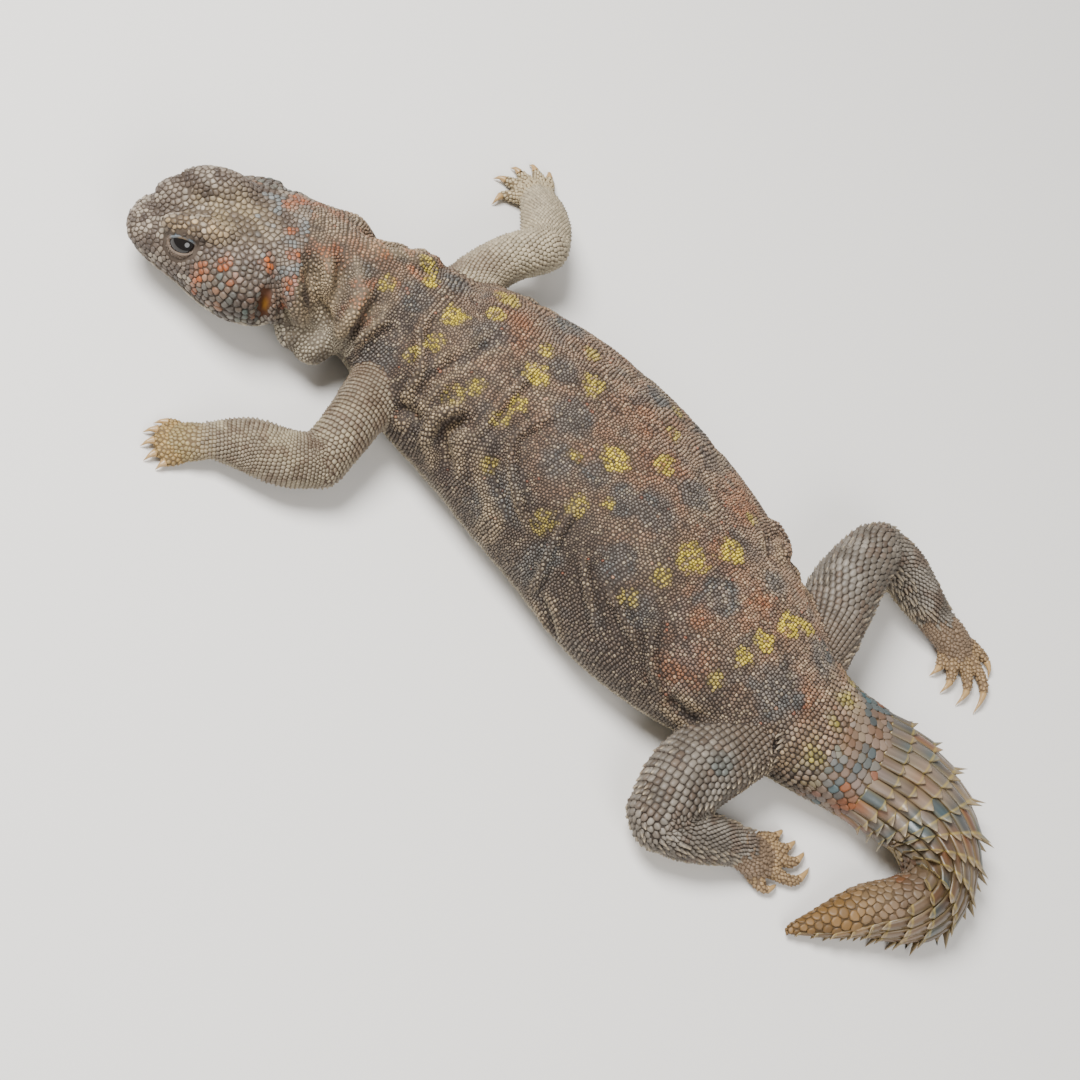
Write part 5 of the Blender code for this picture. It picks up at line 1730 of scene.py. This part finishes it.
def scute_tones(surface, distance, outward, angle, along):
    """The colours of a scute at its front and its rear edge, where some turn teal, and of its gap."""
    ends = [1, PLATE_END]
    places = distance[ends, KEEL, None] * (1, 0) + (0, angle)
    tones, gap = marking(surface[ends, KEEL], np.array(["tail"] * 2), places, outward[ends, KEEL])
    tones = tones * random.uniform(0.8, 1.2)
    here = surface[PLATE_END : PLATE_END + 1, KEEL]
    teal = np.clip((by_granule(here, 1.5, 72) - 0.45) * 2.0, 0, 0.8) * (along < 0.62)
    tones[1:] = blend(tones[1:], "#2f4246", teal) * (0.68 + 0.4 * by_granule(here, 1.5, 71))
    tones[:1] = tones[:1] * (0.95 + 0.2 * by_granule(here, 1.5, 73))
    return *tones, gap[0]


def scute_colours(front_tone, rear_tone, gap):
    """A colour for each point of a scute, yellowish along its edges and pale at its spine's point, with a
    painted highlight along its keel and painted shade at its sides, and paler towards its rear edge.
    """
    seam = linear("#a5904c")
    point_colour = linear("#b3a07c")
    colours = []
    for step in SCUTE_STEPS:
        tip = max(0.0, step - 1.0)
        colour = front_tone + (rear_tone - front_tone) * min(step, 1.0)
        rim = 0.9 if step < 0.05 or 0.95 < step <= 1 else 0.0
        for place, rise in zip(SCUTE_ACROSS, SCUTE_HEIGHT):
            # Painted highlight along the raised keel and painted shade at the sides; the scute also pales
            # towards its rear edge.
            shade = colour * (0.85 + 0.3 * max(0.0, 1 - abs(place) * 1.8)) * (0.85 + 0.3 * min(step, 1.0))
            shade = shade + (seam - shade) * (rim * 0.6 + 0.12 * (abs(place) > 0.7))
            shade = shade if rise > 0 else gap * 0.8 + seam * 0.15
            colours.append(shade * (1 - 0.5 * tip) + point_colour * 0.5 * tip)
    return colours


points = []
colours = []
homes = []
for number, (front, rear) in enumerate(zip(whorls[PLAIN_WHORLS:-1], whorls[PLAIN_WHORLS + 1 :])):
    size = float(trunk.at(rear)[0, 3] / trunk.at(torso_end)[0, 3])
    along = ((front + rear) / 2 - torso_end) / (trunk.length - torso_end)
    ring_angles = np.radians(np.linspace(float(scutes_begin(rear)), SCUTE_ARC[1], 200))
    ring = trunk_points(np.full(200, rear), ring_angles)
    walked = np.r_[0.0, np.cumsum(np.linalg.norm(np.diff(ring, axis=0), axis=1))]
    width = SCUTE_WIDTH * min(1.0, (number + 4.0) / 5.0) * size**0.45
    count = max(4, round(walked[-1] / max(width, NARROWEST_SCUTE)))
    widths = np.cumsum(random.uniform(0.88, 1.12, count))
    edges = np.r_[0.0, widths / widths[-1]] * walked[-1]
    for low, high in zip(edges[:-1], edges[1:]):
        middle = (low + high) / 2
        spread = (high - low) / 2 * SCUTE_FILL * SCUTE_SPREAD
        angle = np.interp(middle + SCUTE_ACROSS * spread[:, None], walked, ring_angles)
        angle_here = float(np.interp(middle, walked, ring_angles))
        side_share = abs(math.cos(angle_here)) ** 1.3
        length = (SPINE_ON_BACK + (SPINE_ON_SIDE - SPINE_ON_BACK) * side_share) * size**0.5
        length *= 0.45 + 0.55 * min(1.0, number / SMALL_WHORLS)
        length *= random.uniform(0.85, 1.15)
        scute, *stand = scute_points(front, rear, angle, size, side_share, length)
        points.append(scute)
        colours += scute_colours(*scute_tones(*stand, angle_here, along))
        homes.append((along * (1 - 2 * MARGIN) + MARGIN, (math.degrees(angle_here) + 90) / 360 % 1.0))
scutes = placed_in_scene("tail_scutes", ringed_mesh(
    "tail_scutes", np.concatenate(points), np.array(colours), np.array(homes),
    even_shares(len(SCUTE_STEPS)), True,
), tinted("horn of the tail scutes", 0.38, 0.5, 0.5, 0.25))
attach(scutes, "root")

# Claws.
# Curved claws of tan horn, one to each toe, round in section and sharp.
claw_horn, claw_shader = new_material("tan claw horn", 0.32, 0.5)
claw_shader.inputs["Base Color"].default_value = (*linear("#a38458"), 1.0)
CLAW_INSIDE_TOE = 0.06
for name, toes in TOES.items():
    shapes = []
    for toe in toes:
        line = Line(toe_rows(toe, 1 - CLAW_SHARE - CLAW_INSIDE_TOE, 1.0, 9))
        along = np.linspace(0.0, line.length, 14)
        points, _, _ = grid_of(lambda d, a, line=line: limb_points(line, d, a, -0.12), along, 14)
        points[..., 2] = np.maximum(points[..., 2], 0.08)
        shapes.append(loft(points))
    claws = placed_in_scene(f"claws_{name}", joined(shapes), claw_horn)
    claws.data.shade_smooth()
    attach(claws, "root")

# Eyes.
# A wet, nearly black eyeball with a clear, very glossy coat.
eye_wet, eye_shader = new_material("wet dark eye", 0.08, 0.35)
eye_shader.inputs["Coat Weight"].default_value = 0.5
eye_shader.inputs["Coat Roughness"].default_value = 0.02
eye_shader.inputs["Base Color"].default_value = (*linear("#0e0a08"), 1.0)
for side, name in ((1, "eye_left"), (-1, "eye_right")):
    forward, out, up = EYE_CENTRE
    ball = joined([ellipsoid((forward, out * side, up), (EYE_RADIUS,) * 3)])
    eye = placed_in_scene(f"eyeball_{name[4:]}", ball, eye_wet)
    ball.shade_smooth()
    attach(eye, "root")
    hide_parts(name)
